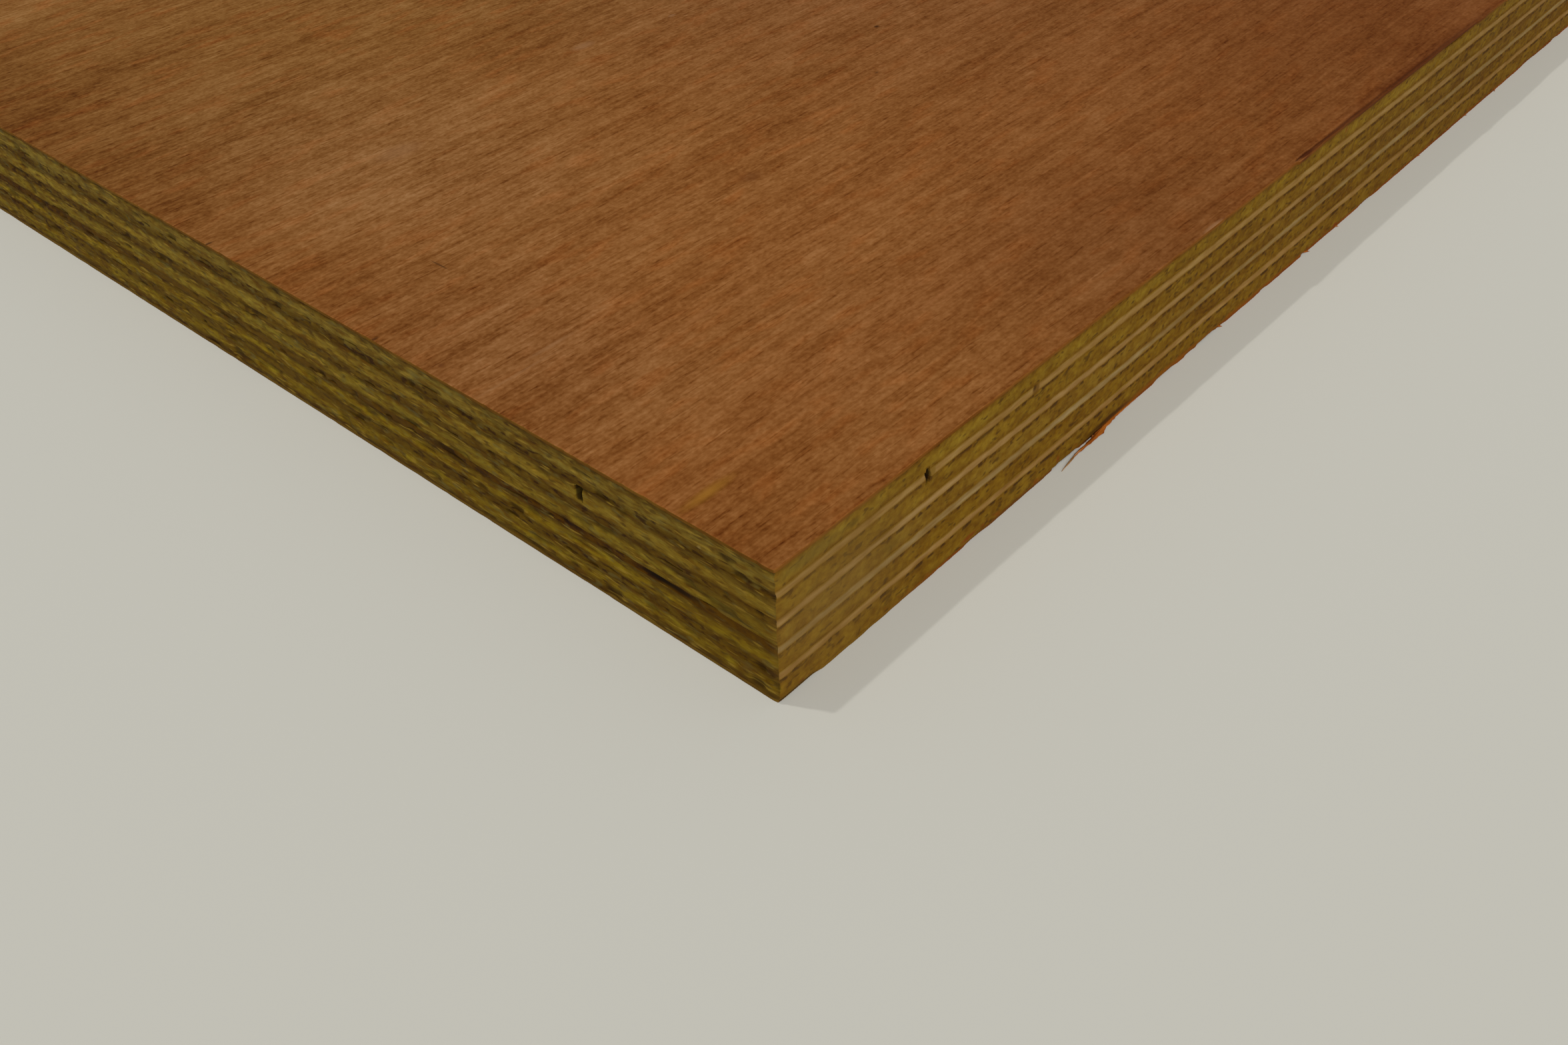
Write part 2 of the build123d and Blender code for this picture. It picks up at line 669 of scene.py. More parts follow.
@dataclass(frozen=True)
class EdgeLook:
    """A veneer's look on one pair of sawn edges: its core, which fades to a margin at its glue lines.

    Above says at what heights over the lower glue line that margin starts and stops fading, and below
    the same under the upper one. The far shade darkens the edge along X, over the far range.
    """

    core: Colour
    margin: Colour
    above: Pair
    below: Pair
    textures: tuple[Texture, ...]
    flecks: tuple[Flecks, ...] = ()
    far_shade: float = 0.0
    far_range: Pair = (35.0, 85.0)
    fleck_seed: float = 10.0

    def paint(self, edge: EdgePlaces, seed: float) -> tuple[Signal, Signal]:
        """The colour of the edge.

        Args:
            edge: what is read.
            seed: moves the patterns.

        Returns:
            The colour, and its unevenness for the relief.
        """
        nodes = edge.nodes
        share = nodes.rise(edge.rise, *self.above) * nodes.rise(edge.drop, *self.below)
        colour = nodes.mix(self.margin, self.core, share)
        uneven = 0.0
        for number, texture in enumerate(self.textures):
            pitch = (texture.length, texture.length, texture.width)
            uneven = (nodes.noise(edge.places, pitch, seed + number, 2.0) - 0.5) * texture.depth + uneven
        far = nodes.rise(nodes.part(edge.places, "X"), *self.far_range) * self.far_shade
        colour = nodes.shade(colour, 1.0 - far + uneven)
        for number, fleck in enumerate(self.flecks):
            colour = fleck.paint(edge, seed + self.fleck_seed + number, colour)
        return colour, uneven


@dataclass(frozen=True)
class SawnFinish:
    """The sawn edges of one veneer, which look different on the long and on the short edges.

    Wobble moves the glue lines' margins up and down, and the hollow range says how far inside the
    sheet a gap's walls start to take painted shade and where that shade is full.
    """

    name: str
    seed: float
    corner: Vector
    size: Pair
    long_look: EdgeLook
    short_look: EdgeLook
    marks: tuple[Mark, ...] = ()
    long_seed: float = 1.0
    short_seed: float = 31.0
    wobble: float = 0.3
    wobble_cell: Triple = (1.6, 1.6, 0.9)
    gap_shade_range: Pair = (0.08, 0.42)
    gap_shade_strength: float = 0.82
    roughness: float = 0.8
    relief: float = 0.10

    def dress(self) -> bpy.types.Material:
        """Makes the material.

        Returns:
            The material, which reads the carried values rise, drop and short_edge.
        """
        nodes = FinishNodes.of(self.name)
        places = nodes.from_corner(self.corner)
        wobble = (nodes.noise(places, self.wobble_cell, self.seed) - 0.5) * self.wobble
        edge = EdgePlaces(nodes, places, nodes.carried("rise") + wobble, nodes.carried("drop") + wobble)
        long_colour, long_relief = self.long_look.paint(edge, self.seed + self.long_seed)
        short_colour, short_relief = self.short_look.paint(edge, self.seed + self.short_seed)
        short = nodes.carried("short_edge")
        colour = nodes.mix(long_colour, short_colour, short)
        for mark in self.marks:
            colour = mark.paint(nodes, places, colour)
        x, y = nodes.part(places, "X"), nodes.part(places, "Y")
        # Painted shade: the walls of a gap darken the deeper they lie inside the sheet.
        inside = x.least(self.size[0] - x).least(y.least(self.size[1] - y))
        hollow = nodes.rise(inside, *self.gap_shade_range) * self.gap_shade_strength
        colour = nodes.mix(colour, HOLLOW_SHADE, hollow)
        relief = long_relief * (1.0 - short) + short_relief * short
        return nodes.finish(colour, self.roughness, normal=nodes.bump(relief, self.relief))


END_TEXTURE = (Texture(0.8, 0.6, 0.75), Texture(2.0, 1.2, 0.75), Texture(8.0, 2.6, 0.7))
STREAK_TEXTURE = (Texture(1.2, 0.42, 0.9), Texture(3.0, 0.75, 1.0), Texture(12.0, 1.7, 0.75))
LINE_TEXTURE = (Texture(2.2, 0.5, 0.5), Texture(6.5, 1.0, 0.7))
DARK_TEXTURE = (Texture(1.1, 0.45, 0.9), Texture(2.8, 0.85, 1.1), Texture(9.0, 1.6, 0.8))
SPOTS = Flecks(1.2, 0.6, 0.58, SPECK_WOOD, 0.65)
TEARS = Flecks(1.8, 0.5, 0.57, DARK_WOOD, 0.5)
TICKS = Flecks(1.5, 0.55, 0.52, DARK_WOOD, 0.85)
BRIGHT_FIBRES = Flecks(2.6, 0.4, 0.58, linear(144, 116, 40), 0.6)
GREY_TEARS = Flecks(2.2, 0.7, 0.57, linear(94, 84, 44), 0.5)
BROWN_TEARS = Flecks(3.0, 0.8, 0.54, linear(84, 52, 6), 0.5)


@dataclass(frozen=True)
class GluedFinish:
    """The inner faces, which are glued over and show only down a core gap."""

    name: str = "glued_face"
    colour: Colour = linear(40, 24, 10)
    roughness: float = 0.8

    def dress(self) -> bpy.types.Material:
        """Makes the material."""
        return FinishNodes.of(self.name).finish(self.colour, self.roughness)


@dataclass(frozen=True)
class Layer:
    """One scale of unevenness on a sawn face: its cell along and up the edge, and its depth."""

    along: float
    up: float
    depth: float

    def noise(self, side: "Side", height: np.ndarray, seed: int) -> np.ndarray:
        """Noise from -1 to 1 with these cells, for heights in one row for each station."""
        cells = round(side.perimeter / self.along)
        return ring_noise(side.share[:, None], cells, height / self.up, seed)


@dataclass(frozen=True)
class SawnFace:
    """How rough a sawn face is: how far it lies inside the outline, its unevenness and its tears."""

    base: float
    layers: tuple[Layer, ...]
    tears: Layer
    tear_start: float = 0.35
    tear_fade: float = 0.4

    def depth(self, side: "Side", height: np.ndarray, seed: int) -> np.ndarray:
        """Depth of the face inside the outline: its base, plus noise at each scale, plus its tears.

        Args:
            side: the edge.
            height: height of each point, one row for each station.
            seed: picks the noise.

        Returns:
            Depths in millimetres, in the shape of height.
        """
        depth = np.full(height.shape, self.base)
        for number, layer in enumerate(self.layers):
            depth += layer.depth * layer.noise(side, height, seed + number)
        torn = self.tears.noise(side, height, seed + len(self.layers))
        return depth + self.tears.depth * smooth_step((torn - self.tear_start) / self.tear_fade)


END_GRAIN = SawnFace(0.02, (Layer(0.7, 0.6, 0.03), Layer(2.6, 1.2, 0.025)), Layer(1.6, 0.9, 0.07))
FLAT_GRAIN = SawnFace(0.0, (Layer(9.0, 0.6, 0.015), Layer(1.8, 0.5, 0.012)), Layer(2.8, 0.5, 0.06))
TORN_GRAIN = SawnFace(0.05, (Layer(5.0, 0.8, 0.045), Layer(1.6, 0.5, 0.035)), Layer(3.0, 0.7, 0.2))
SUNK_GRAIN = SawnFace(0.06, (Layer(0.9, 0.5, 0.04), Layer(3.0, 0.8, 0.04)), Layer(2.2, 0.7, 0.2))
FACE_LONG = SawnFace(0.02, (Layer(5.0, 2.0, 0.02), Layer(0.9, 1.0, 0.012)), Layer(3.0, 2.0, 0.06))
FACE_SHORT = SawnFace(0.02, (Layer(4.0, 2.0, 0.012), Layer(0.6, 1.0, 0.012)), Layer(1.0, 2.0, 0.06))
BACK_LONG = SawnFace(0.02, (Layer(2.0, 2.0, 0.03), Layer(0.7, 1.0, 0.02)), Layer(4.0, 2.0, 0.15))
BACK_SHORT = SawnFace(0.03, (Layer(6.0, 2.0, 0.015), Layer(0.9, 1.0, 0.01)), Layer(2.5, 2.0, 0.03))


@dataclass(frozen=True)
class Dip:
    """A hollow in a sawn edge, in millimetres: where it is, how large and how soft its sides are."""

    edge: Edge
    centre: float
    width: float
    low: float
    high: float
    depth: float
    side_slope: float = 0.03
    rim_slope: float = 0.03

    def cut(self, side: "Side", height: np.ndarray) -> np.ndarray:
        """Depth that the dip adds: a smooth step in from each side, times one from below and above.

        Args:
            side: the edge that is cut.
            height: height of each point.

        Returns:
            Depths in millimetres.
        """
        if side.edge is not self.edge:
            return np.zeros(height.shape)
        inside = self.width / 2.0 - np.abs(side.from_corner[:, None] - self.centre)
        across = smooth_step(inside / (2.0 * self.side_slope) + 0.5)
        above = smooth_step((height - self.low) / (2.0 * self.rim_slope) + 0.5)
        below = smooth_step((self.high - height) / (2.0 * self.rim_slope) + 0.5)
        return self.depth * across * above * below


@dataclass(frozen=True)
class Sliver:
    """A stretch of the face veneer that has split off and leans out over the long edge."""

    start: float
    end: float
    lean_at_start: float
    lean_at_end: float
    start_slope: float = 0.2
    end_slope: float = 0.4

    def lean(self, from_corner: np.ndarray) -> np.ndarray:
        """How far it leans out: a straight line from its start to its end, and nothing beyond them."""
        knots = (self.start - self.start_slope, self.start, self.end, self.end + self.end_slope)
        return np.interp(from_corner, knots, (0.0, self.lean_at_start, self.lean_at_end, 0.0))


NO_FADE = (-1.0, -0.5)


@dataclass(frozen=True)
class Ply:
    """What sets one veneer apart: its sort, its wood on the two edges, its glue line, dips and marks.

    Fades say where its margins on the short edge start and stop fading, above the lower glue line and
    below the upper one. Sag and wander are those of the glue line on top of it.
    """

    node: str
    sort: Sort
    long_core: Colour
    short_core: Colour
    fades: tuple[Pair, Pair] = (NO_FADE, NO_FADE)
    sag: float = 0.0
    wander: float = 0.09
    specks: float = 0.0
    far_shade: float = 0.0
    flecks: tuple[Flecks, ...] = ()
    dips: tuple[Dip, ...] = ()
    marks: tuple[Mark, ...] = ()


PLIES = (
    Ply(
        "back_veneer", Sort.BACK, linear(114, 58, 8), linear(96, 70, 20), wander=0.05,
        dips=(
            Dip(Edge.NEAR_LONG, 2.0, 8.0, -0.5, 0.9, 0.3, 1.0, 0.1),
            Dip(Edge.NEAR_LONG, 51.0, 5.0, -0.5, 0.9, 0.5, 0.8, 0.1),
            Dip(Edge.NEAR_LONG, 74.0, 5.0, -0.5, 0.9, 0.2, 1.0, 0.1),
            Dip(Edge.NEAR_LONG, 84.5, 5.0, -0.5, 0.9, 0.3, 1.0, 0.1),
            Dip(Edge.NEAR_LONG, 112.0, 1.5, -0.5, 0.9, 0.3, 0.4, 0.1),
        ),
        marks=(
            on_long_edge(8.0, 0.2, 24.0, 0.7, linear(108, 80, 20), 0.85),
            on_long_edge(40.0, 0.2, 14.0, 0.7, linear(84, 54, 14), 0.7),
            # painted shadow in the gap behind the torn strip
            on_long_edge(57.5, 0.2, 4.5, 0.7, HOLLOW_SHADE, 0.9),
        ),
    ),
    Ply(
        "cross_veneer_1", Sort.CROSS, linear(109, 77, 12), linear(108, 84, 11),
        fades=((0.2, 1.6), (-0.4, 0.9)), sag=0.25, specks=0.9, far_shade=0.03,
        flecks=(Flecks(1.4, 0.9, 0.56, RED_WOOD, 0.5, over=1.0),),
        dips=(Dip(Edge.NEAR_LONG, 2.0, 7.0, 0.0, 0.55, 0.2, 2.0, 0.2),),
        marks=(
            on_long_edge(74.0, 0.4, 18.0, 0.75, TORN_WOOD, 0.85, 0.6),
            on_long_edge(98.0, 0.4, 20.0, 0.6, TORN_WOOD, 0.6, 0.6),
            # painted shadow of the gap behind the torn strip, on the foot of the edge
            on_long_edge(60.5, 0.7, 7.5, 0.6, DARK_WOOD, 0.8),
            on_long_edge(31.6, 0.9, 2.2, 0.5, RED_WOOD, 0.7),
            on_long_edge(49.3, 1.2, 0.5, 0.7, RED_WOOD, 0.6),
            on_long_edge(40.0, 2.4, 1.4, 0.7, SPECK_WOOD, 0.7),
            on_long_edge(47.6, 2.8, 1.6, 0.5, SPECK_WOOD, 0.7),
            on_long_edge(121.5, 0.6, 1.1, 0.5, RED_WOOD, 0.8),
        ),
    ),
    Ply(
        "long_veneer_1", Sort.LONG, linear(135, 101, 52), linear(82, 58, 6), sag=0.25,
        marks=(on_short_edge(92.0, 3.9, 64.0, 2.5, linear(104, 80, 18), 0.35, 0.9),),
    ),
    Ply(
        "cross_veneer_2", Sort.CROSS, linear(111, 79, 12), linear(113, 88, 10),
        fades=((-0.1, 0.9), (0.0, 1.3)), sag=0.2, specks=0.85, far_shade=0.11,
    ),
    Ply(
        "long_veneer_2", Sort.LONG, linear(129, 103, 60), linear(72, 44, 0), sag=0.2,
        dips=(
            Dip(Edge.NEAR_SHORT, 15.5, 8.0, 7.0, 8.1, 0.3, 3.0, 0.3),
            Dip(Edge.NEAR_SHORT, 75.2, 2.0, 6.8, 7.7, 0.3, 0.8, 0.3),
        ),
        marks=(
            # painted shade in the voids of this veneer's end, some over dips and some where the mesh has
            # none
            on_short_edge(16.6, 7.5, 2.8, 0.55, HOLLOW_SHADE, 0.95),
            on_short_edge(14.0, 7.5, 5.4, 0.6, HOLLOW_SHADE, 0.75),
            on_short_edge(29.3, 7.7, 2.6, 0.45, HOLLOW_SHADE, 0.6),
            on_short_edge(52.3, 7.3, 1.2, 0.4, HOLLOW_SHADE, 0.7),
            on_short_edge(62.8, 7.8, 1.0, 0.35, HOLLOW_SHADE, 0.7),
            on_short_edge(75.2, 7.2, 0.9, 0.4, HOLLOW_SHADE, 0.85),
            on_short_edge(92.6, 7.1, 1.5, 0.35, HOLLOW_SHADE, 0.7),
            on_short_edge(92.0, 7.5, 62.0, 2.5, linear(92, 67, 14), 0.7, 0.9),
        ),
    ),
    Ply(
        "cross_veneer_3", Sort.CROSS, linear(112, 81, 18), linear(108, 85, 18),
        fades=((-0.4, 0.6), (-0.2, 1.2)), sag=0.18, specks=0.85, far_shade=0.11,
        marks=(
            on_long_edge(17.5, 9.3, 2.6, 1.1, linear(84, 60, 18), 0.45),
            on_short_edge(98.5, 8.5, 3.0, 0.35, DARK_WOOD, 0.6),
        ),
    ),
    Ply(
        "long_veneer_3", Sort.LONG, linear(138, 106, 59), linear(83, 59, 9),
        sag=0.18, far_shade=0.08,
        marks=(on_short_edge(84.0, 11.1, 60.0, 2.5, linear(104, 78, 16), 0.25, 0.9),),
    ),
    Ply(
        "cross_veneer_4", Sort.CROSS, linear(114, 83, 16), linear(117, 92, 24),
        fades=((-0.4, 0.6), (0.0, 1.4)), specks=0.7, far_shade=0.11,
        dips=(
            Dip(Edge.NEAR_LONG, LONG_GAP, SPLIT_WIDTH, 13.7, 14.6, 5.0, 0.06, 0.06),
            Dip(Edge.NEAR_SHORT, SHORT_GAP, SHORT_GAP_WIDTH, 12.0, 13.8, 7.0),
        ),
        marks=(
            on_long_edge(49.0, 13.6, 0.5, 0.5, DARK_WOOD, 0.5),
            on_long_edge(49.3, 12.7, 0.35, 0.8, DARK_WOOD, 0.35),
            on_short_edge(118.3, 13.8, 1.4, 0.35, DARK_WOOD, 0.7),
        ),
    ),
    Ply(
        "long_veneer_4", Sort.LONG, linear(136, 104, 54), linear(80, 57, 6),
        fades=(NO_FADE, (-0.2, 0.9)),
        dips=(Dip(Edge.NEAR_LONG, LONG_GAP, LONG_GAP_WIDTH, 14.0, 15.6, 9.0),),
        marks=(
            on_long_edge(24.0, 14.8, 0.9, 1.0, OLIVE_WOOD, 0.9, 0.4),
            on_long_edge(42.9, 14.8, 0.8, 1.1, linear(96, 64, 16), 0.85, 0.5),
            on_long_edge(42.6, 15.1, 0.5, 0.5, DARK_WOOD, 0.6, 0.7),
        ),
    ),
    Ply(
        "cross_veneer_5", Sort.CROSS, linear(114, 84, 17), linear(108, 85, 26),
        fades=((-0.7, 0.2), (-0.3, 1.1)), wander=0.04, specks=0.2, far_shade=0.04,
        dips=(
            Dip(Edge.NEAR_LONG, LONG_GAP, SPLIT_WIDTH, 15.0, 15.7, 5.0, 0.06, 0.06),
            Dip(Edge.NEAR_LONG, 153.5, 7.0, 17.35, 17.8, 0.45, 1.0, 0.06),
        ),
        marks=(
            on_long_edge(5.0, 16.5, 7.0, 1.3, linear(98, 78, 32), 0.5),
            on_long_edge(11.5, 16.3, 1.3, 0.7, linear(70, 52, 16), 0.5),
            on_long_edge(117.5, 16.9, 0.5, 0.7, RED_WOOD, 0.5),
            on_short_edge(9.8, 15.4, 0.4, 0.35, linear(128, 108, 58), 0.7),
            on_short_edge(4.4, 17.2, 0.9, 0.3, DARK_WOOD, 0.5),
        ),
    ),
    Ply(
        "face_veneer", Sort.FACE, linear(110, 66, 18), linear(98, 64, 14), wander=0.0,
        marks=(
            on_long_edge(104.6, 17.8, 2.5, 0.6, BROKEN_WOOD, 0.8),
            on_long_edge(140.0, 17.8, 36.0, 0.6, BROKEN_WOOD, 0.85, 0.5),
        ),
    ),
)


@dataclass(frozen=True)
class Stock:
    """What veneers of one sort share: their faces on the edges, their rows, bake map and flat faces."""

    slot_name: str
    long_face: SawnFace
    short_face: SawnFace
    rows: int
    folds: int
    rim_rows: bool = False
    face_share: float = 0.0
    under_slot: Slot = Slot.GLUED
    upper_slot: Slot = Slot.GLUED


STOCKS = {
    Sort.BACK: Stock("back_wood", BACK_LONG, BACK_SHORT, 2, 28, face_share=0.70, under_slot=Slot.SANDED),
    Sort.CROSS: Stock("cross_core_wood", END_GRAIN, TORN_GRAIN, 8, 48, rim_rows=True),
    Sort.LONG: Stock("long_core_wood", FLAT_GRAIN, SUNK_GRAIN, 4, 64),
    Sort.FACE: Stock("face_wood", FACE_LONG, FACE_SHORT, 2, 28, face_share=0.70, upper_slot=Slot.SANDED),
}


@dataclass(frozen=True)
class Side:
    """One sawn edge as the walk round the sheet meets it, with the sheet on the left hand."""

    edge: Edge
    start: np.ndarray
    walk: np.ndarray
    length: float
    places: np.ndarray
    from_corner: np.ndarray
    share: np.ndarray
    perimeter: float

    @property
    def inward(self) -> np.ndarray:
        """The direction into the sheet, a quarter turn to the left of the walk."""
        return np.array([-self.walk[1], self.walk[0]])

    def thinned(self, keep: int) -> "Side":
        """The same edge with every so-many-th station."""
        kept = {name: getattr(self, name)[::keep] for name in ("places", "from_corner", "share")}
        return replace(self, **kept)


def joined(values: list[np.ndarray]) -> np.ndarray:
    """The four edges' values as one ring, each corner once."""
    return np.concatenate([value[:-1] for value in values])


@dataclass(frozen=True)
class Outline:
    """The walk round the sheet, with stations close together where the camera looks."""

    length: float
    width: float
    long_reach: float = 215.0
    short_reach: float = 178.0
    near_step: float = 0.25
    far_step: float = 6.0
    growth: float = 0.03
    halvings: int = 5
    ruler_marks: int = 20001
    wall_slope: float = 0.015
    long_gaps: tuple[Pair, ...] = ((LONG_GAP, LONG_GAP_WIDTH), (LONG_GAP, SPLIT_WIDTH))
    short_gaps: tuple[Pair, ...] = ((SHORT_GAP, SHORT_GAP_WIDTH),)

    @property
    def perimeter(self) -> float:
        """The whole way round."""
        return 2.0 * (self.length + self.width)

    def stations(self, length: float, reach: float, gaps: tuple[Pair, ...]) -> np.ndarray:
        """Places along an edge: evenly close up to the reach, then ever wider apart.

        Args:
            length: the edge's length.
            reach: how far from the photographed corner the close stations go.
            gaps: middle and width of each gap, whose walls get a station on either side.

        Returns:
            Distances from the edge's end, as many as the halvings need.
        """
        ruler = np.linspace(0.0, length, self.ruler_marks)
        spacing = self.near_step + self.growth * (ruler - reach)
        spacing = np.clip(spacing, self.near_step, self.far_step)
        counted = np.concatenate(([0.0], np.cumsum(np.diff(ruler) / spacing[1:])))
        group = 2**self.halvings
        beside_walls = [
            middle + side * width / 2.0 + step * self.wall_slope
            for middle, width in gaps for side in (-1.0, 1.0) for step in (-1.0, 1.0)
        ]
        number = math.ceil((counted[-1] + len(beside_walls)) / group) * group - len(beside_walls)
        places = np.interp(np.linspace(0.0, counted[-1], number + 1), counted, ruler)
        return np.sort(np.concatenate((places, beside_walls)))

    def sides(self) -> list[Side]:
        """The four edges in walking order.

        Returns:
            One Side for each edge, starting along the long edge from the photographed corner.
        """
        far = -self.perimeter
        plan = (
            (Edge.NEAR_LONG, self.length, self.long_reach, self.long_gaps),
            (Edge.FAR_SHORT, self.width, far, ()),
            (Edge.FAR_LONG, self.length, far, ()),
            (Edge.NEAR_SHORT, self.width, self.short_reach, self.short_gaps),
        )
        sides = []
        walked, start, walk = 0.0, np.zeros(2), np.array([1.0, 0.0])
        for edge, length, reach, gaps in plan:
            places = from_corner = self.stations(length, reach, gaps)
            if edge in (Edge.FAR_LONG, Edge.NEAR_SHORT):
                from_corner = from_corner[::-1]
                places = length - from_corner
            share = (walked + places) / self.perimeter
            sides.append(Side(edge, start, walk, length, places, from_corner, share, self.perimeter))
            walked += length
            start = start + length * walk
            walk = sides[-1].inward
        return sides

    @staticmethod
    def ring(sides: list[Side], insets: list[np.ndarray]) -> np.ndarray:
        """Points of a ring that lies inside the outline.

        Each point is its station, moved inward by its inset, and moved along the edge by the insets
        of the two neighbouring edges at their shared corners, in proportion to its place.

        Args:
            sides: the four edges.
            insets: distance inside the outline for each station of each edge, both ends included.

        Returns:
            X and Y of each point, each corner once.
        """
        points = []
        for number, (side, inset) in enumerate(zip(sides, insets)):
            before = insets[number - 1][-1]
            after = insets[(number + 1) % len(sides)][0]
            share = side.places / side.length
            along = side.places + before * (1.0 - share) - after * share
            place = side.start + along[:, None] * side.walk + inset[:, None] * side.inward
            points.append(place[:-1])
        return np.concatenate(points)


@dataclass(frozen=True)
class Boundary:
    """The glue line between two veneers, which wanders up and down as it goes round the sheet.

    Waves give the length of each noise and its share of the wander. The line sags by up to its sag
    round one place on the near long edge.
    """

    height: float
    seed: int
    wander: float = 0.09
    sag: float = 0.0
    sag_place: float = 55.0
    sag_reach: float = 30.0
    waves: tuple[Pair, ...] = ((28.0, 0.7), (5.0, 0.3))

    def heights(self, side: Side) -> np.ndarray:
        """Height of the line at each station: its height, plus a noise for each wave, less its sag.

        Args:
            side: the edge.

        Returns:
            Heights in millimetres.
        """
        if self.wander == 0.0:
            return np.full(side.share.shape, self.height)
        level = np.zeros(side.share.shape)
        height = self.height + self.wander * sum(
            share * ring_noise(side.share, round(side.perimeter / length), level, self.seed + number)
            for number, (length, share) in enumerate(self.waves)
        )
        if side.edge is Edge.NEAR_LONG:
            away = np.abs(side.from_corner - self.sag_place) / self.sag_reach
            height = height - self.sag * smooth_step(1.0 - away)
        return height

    def ring(self, sides: list[Side]) -> np.ndarray:
        """Heights of the line all the way round."""
        return joined([self.heights(side) for side in sides])


@dataclass(frozen=True)
class Row:
    """One row of points round the sheet: each edge's insets and heights, and its place on the ribbon.

    The hollow says, for each edge, how far down a crack the points lie, from 0 to 1.
    """

    insets: list[np.ndarray]
    heights: list[np.ndarray]
    ribbon: float
    hollow: list[np.ndarray] | None = None


class Piece:
    """Points and faces of one closed piece, gathered block by block."""

    def __init__(self, name: str) -> None:
        """Starts an empty piece.

        Args:
            name: the name of its object.
        """
        self.name = name
        self.points: list[np.ndarray] = []
        self.values: dict[str, list[np.ndarray]] = {"rise": [], "drop": [], "hollow": []}
        self.count = 0
        self.corners: list[np.ndarray] = []
        self.places: list[np.ndarray] = []
        self.slots: list[np.ndarray] = []
        self.short: list[np.ndarray] = []

    def add_points(self, points: np.ndarray, rise: np.ndarray | float = 0.0,
                   drop: np.ndarray | float = 0.0, hollow: np.ndarray | float = 0.0) -> np.ndarray:
        """Adds points with the values they carry.

        Args:
            points: X, Y and Z of each, in millimetres from the photographed corner.
            rise: height of each above its veneer's underside.
            drop: height of each below its veneer's top.
            hollow: how far down a crack each lies, from 0 to 1.

        Returns:
            The new points' numbers.
        """
        self.points.append(points)
        for name, value in (("rise", rise), ("drop", drop), ("hollow", hollow)):
            self.values[name].append(np.broadcast_to(value, (len(points),)))
        numbers = np.arange(self.count, self.count + len(points))
        self.count += len(points)
        return numbers

    def add_faces(self, corners: np.ndarray, places: np.ndarray, slot: Slot, short: np.ndarray) -> None:
        """Adds faces with as many corners each.

        Args:
            corners: point numbers, one row for each face.
            places: where each corner lies on the bake map.
            slot: the material slot.
            short: 1 for faces of the short edges and 0 for the others.
        """
        self.corners.append(corners)
        self.places.append(places)
        self.slots.append(np.full(len(corners), slot.value))
        self.short.append(np.broadcast_to(short, (len(corners),)))

    def make(self, corner: Vector, materials: list[bpy.types.Material]) -> bpy.types.Object:
        """Makes the mesh and its object.

        Args:
            corner: place of the photographed corner, in metres.
            materials: the material of each slot.

        Returns:
            The object, at the origin, with its place in its mesh.
        """
        mesh = bpy.data.meshes.new(self.name)
        points = np.concatenate(self.points) * MM + np.array(corner)
        sizes = np.concatenate([np.full(len(block), block.shape[1]) for block in self.corners])
        mesh.vertices.add(len(points))
        mesh.vertices.foreach_set("co", points.astype(np.float32).ravel())
        mesh.loops.add(int(sizes.sum()))
        mesh.loops.foreach_set("vertex_index", np.concatenate([c.ravel() for c in self.corners]))
        mesh.polygons.add(len(sizes))
        mesh.polygons.foreach_set("loop_start", np.concatenate(([0], np.cumsum(sizes)[:-1])))
        mesh.polygons.foreach_set("material_index", np.concatenate(self.slots))
        mesh.polygons.foreach_set("use_smooth", np.ones(len(sizes), dtype=bool))
        for material in materials:
            mesh.materials.append(material)
        bake_map = mesh.uv_layers.new(name=BAKE_MAP)
        bake_map.data.foreach_set("uv", np.concatenate([p.ravel() for p in self.places]))
        for name, blocks in self.values.items():
            carried = mesh.attributes.new(name, "FLOAT", "POINT")
            carried.data.foreach_set("value", np.concatenate(blocks).astype(np.float32))
        carried = mesh.attributes.new("short_edge", "FLOAT", "FACE")
        carried.data.foreach_set("value", np.concatenate(self.short).astype(np.float32))
        mesh.update(calc_edges=True)
        mesh.validate()
        mesh.set_sharp_from_angle(angle=SMOOTH_ANGLE)
        return add_object(self.name, mesh)


@dataclass(frozen=True)
class BakeMap:
    """Where a veneer's faces lie on its bake map.

    The sawn edge is one long ribbon, so it is folded into rows. A sanded face has the lower share of
    the map to itself, and the glued faces share a narrow strip at the top.
    """

    outline: Outline
    folds: int
    face_share: float = 0.0
    turn_over: float = 8.5
    gap: float = 0.0025
    ribbon_top: float = 0.975
    glued_strip: Pair = (0.982, 0.998)
    margin: float = 0.002

    def ribbon(self, start: np.ndarray, end: np.ndarray, low: np.ndarray, high: np.ndarray) -> np.ndarray:
        """Map places of a row of ribbon faces.

        Args:
            start: way round the sheet where each face starts.
            end: way round the sheet where it ends.
            low: share of the ribbon's width at its lower side.
            high: share at its upper side.

        Returns:
            Two map coordinates for each of the four corners of each face.
        """
        fold_length = self.outline.perimeter / self.folds
        fold = np.minimum(np.floor(start / fold_length), self.folds - 1)
        pitch = (self.ribbon_top - self.face_share) / self.folds
        foot = self.face_share + fold * pitch + self.gap / 2.0
        left = (start - fold * fold_length) / (fold_length + self.turn_over)
        right = (end - fold * fold_length) / (fold_length + self.turn_over)
        lower = foot + low * (pitch - self.gap)
        upper = foot + high * (pitch - self.gap)
        corners = ((left, lower), (right, lower), (right, upper), (left, upper))
        return np.stack([np.stack(corner, axis=-1) for corner in corners], axis=1)

    def flat(self, points: np.ndarray, slot: Slot) -> np.ndarray:
        """Map places of points on a flat face, seen from above.

        Args:
            points: X and Y of each point.
            slot: the face's slot, which says what part of the map it has.

        Returns:
            Two map coordinates for each point.
        """
        low, high = self.glued_strip
        if slot is Slot.SANDED:
            low, high = self.margin, self.face_share - 2.0 * self.margin
        share = points / np.array([self.outline.length, self.outline.width])
        across = self.margin + (1.0 - 2.0 * self.margin) * share[..., 0]
        return np.stack((across, low + (high - low) * share[..., 1]), axis=-1)


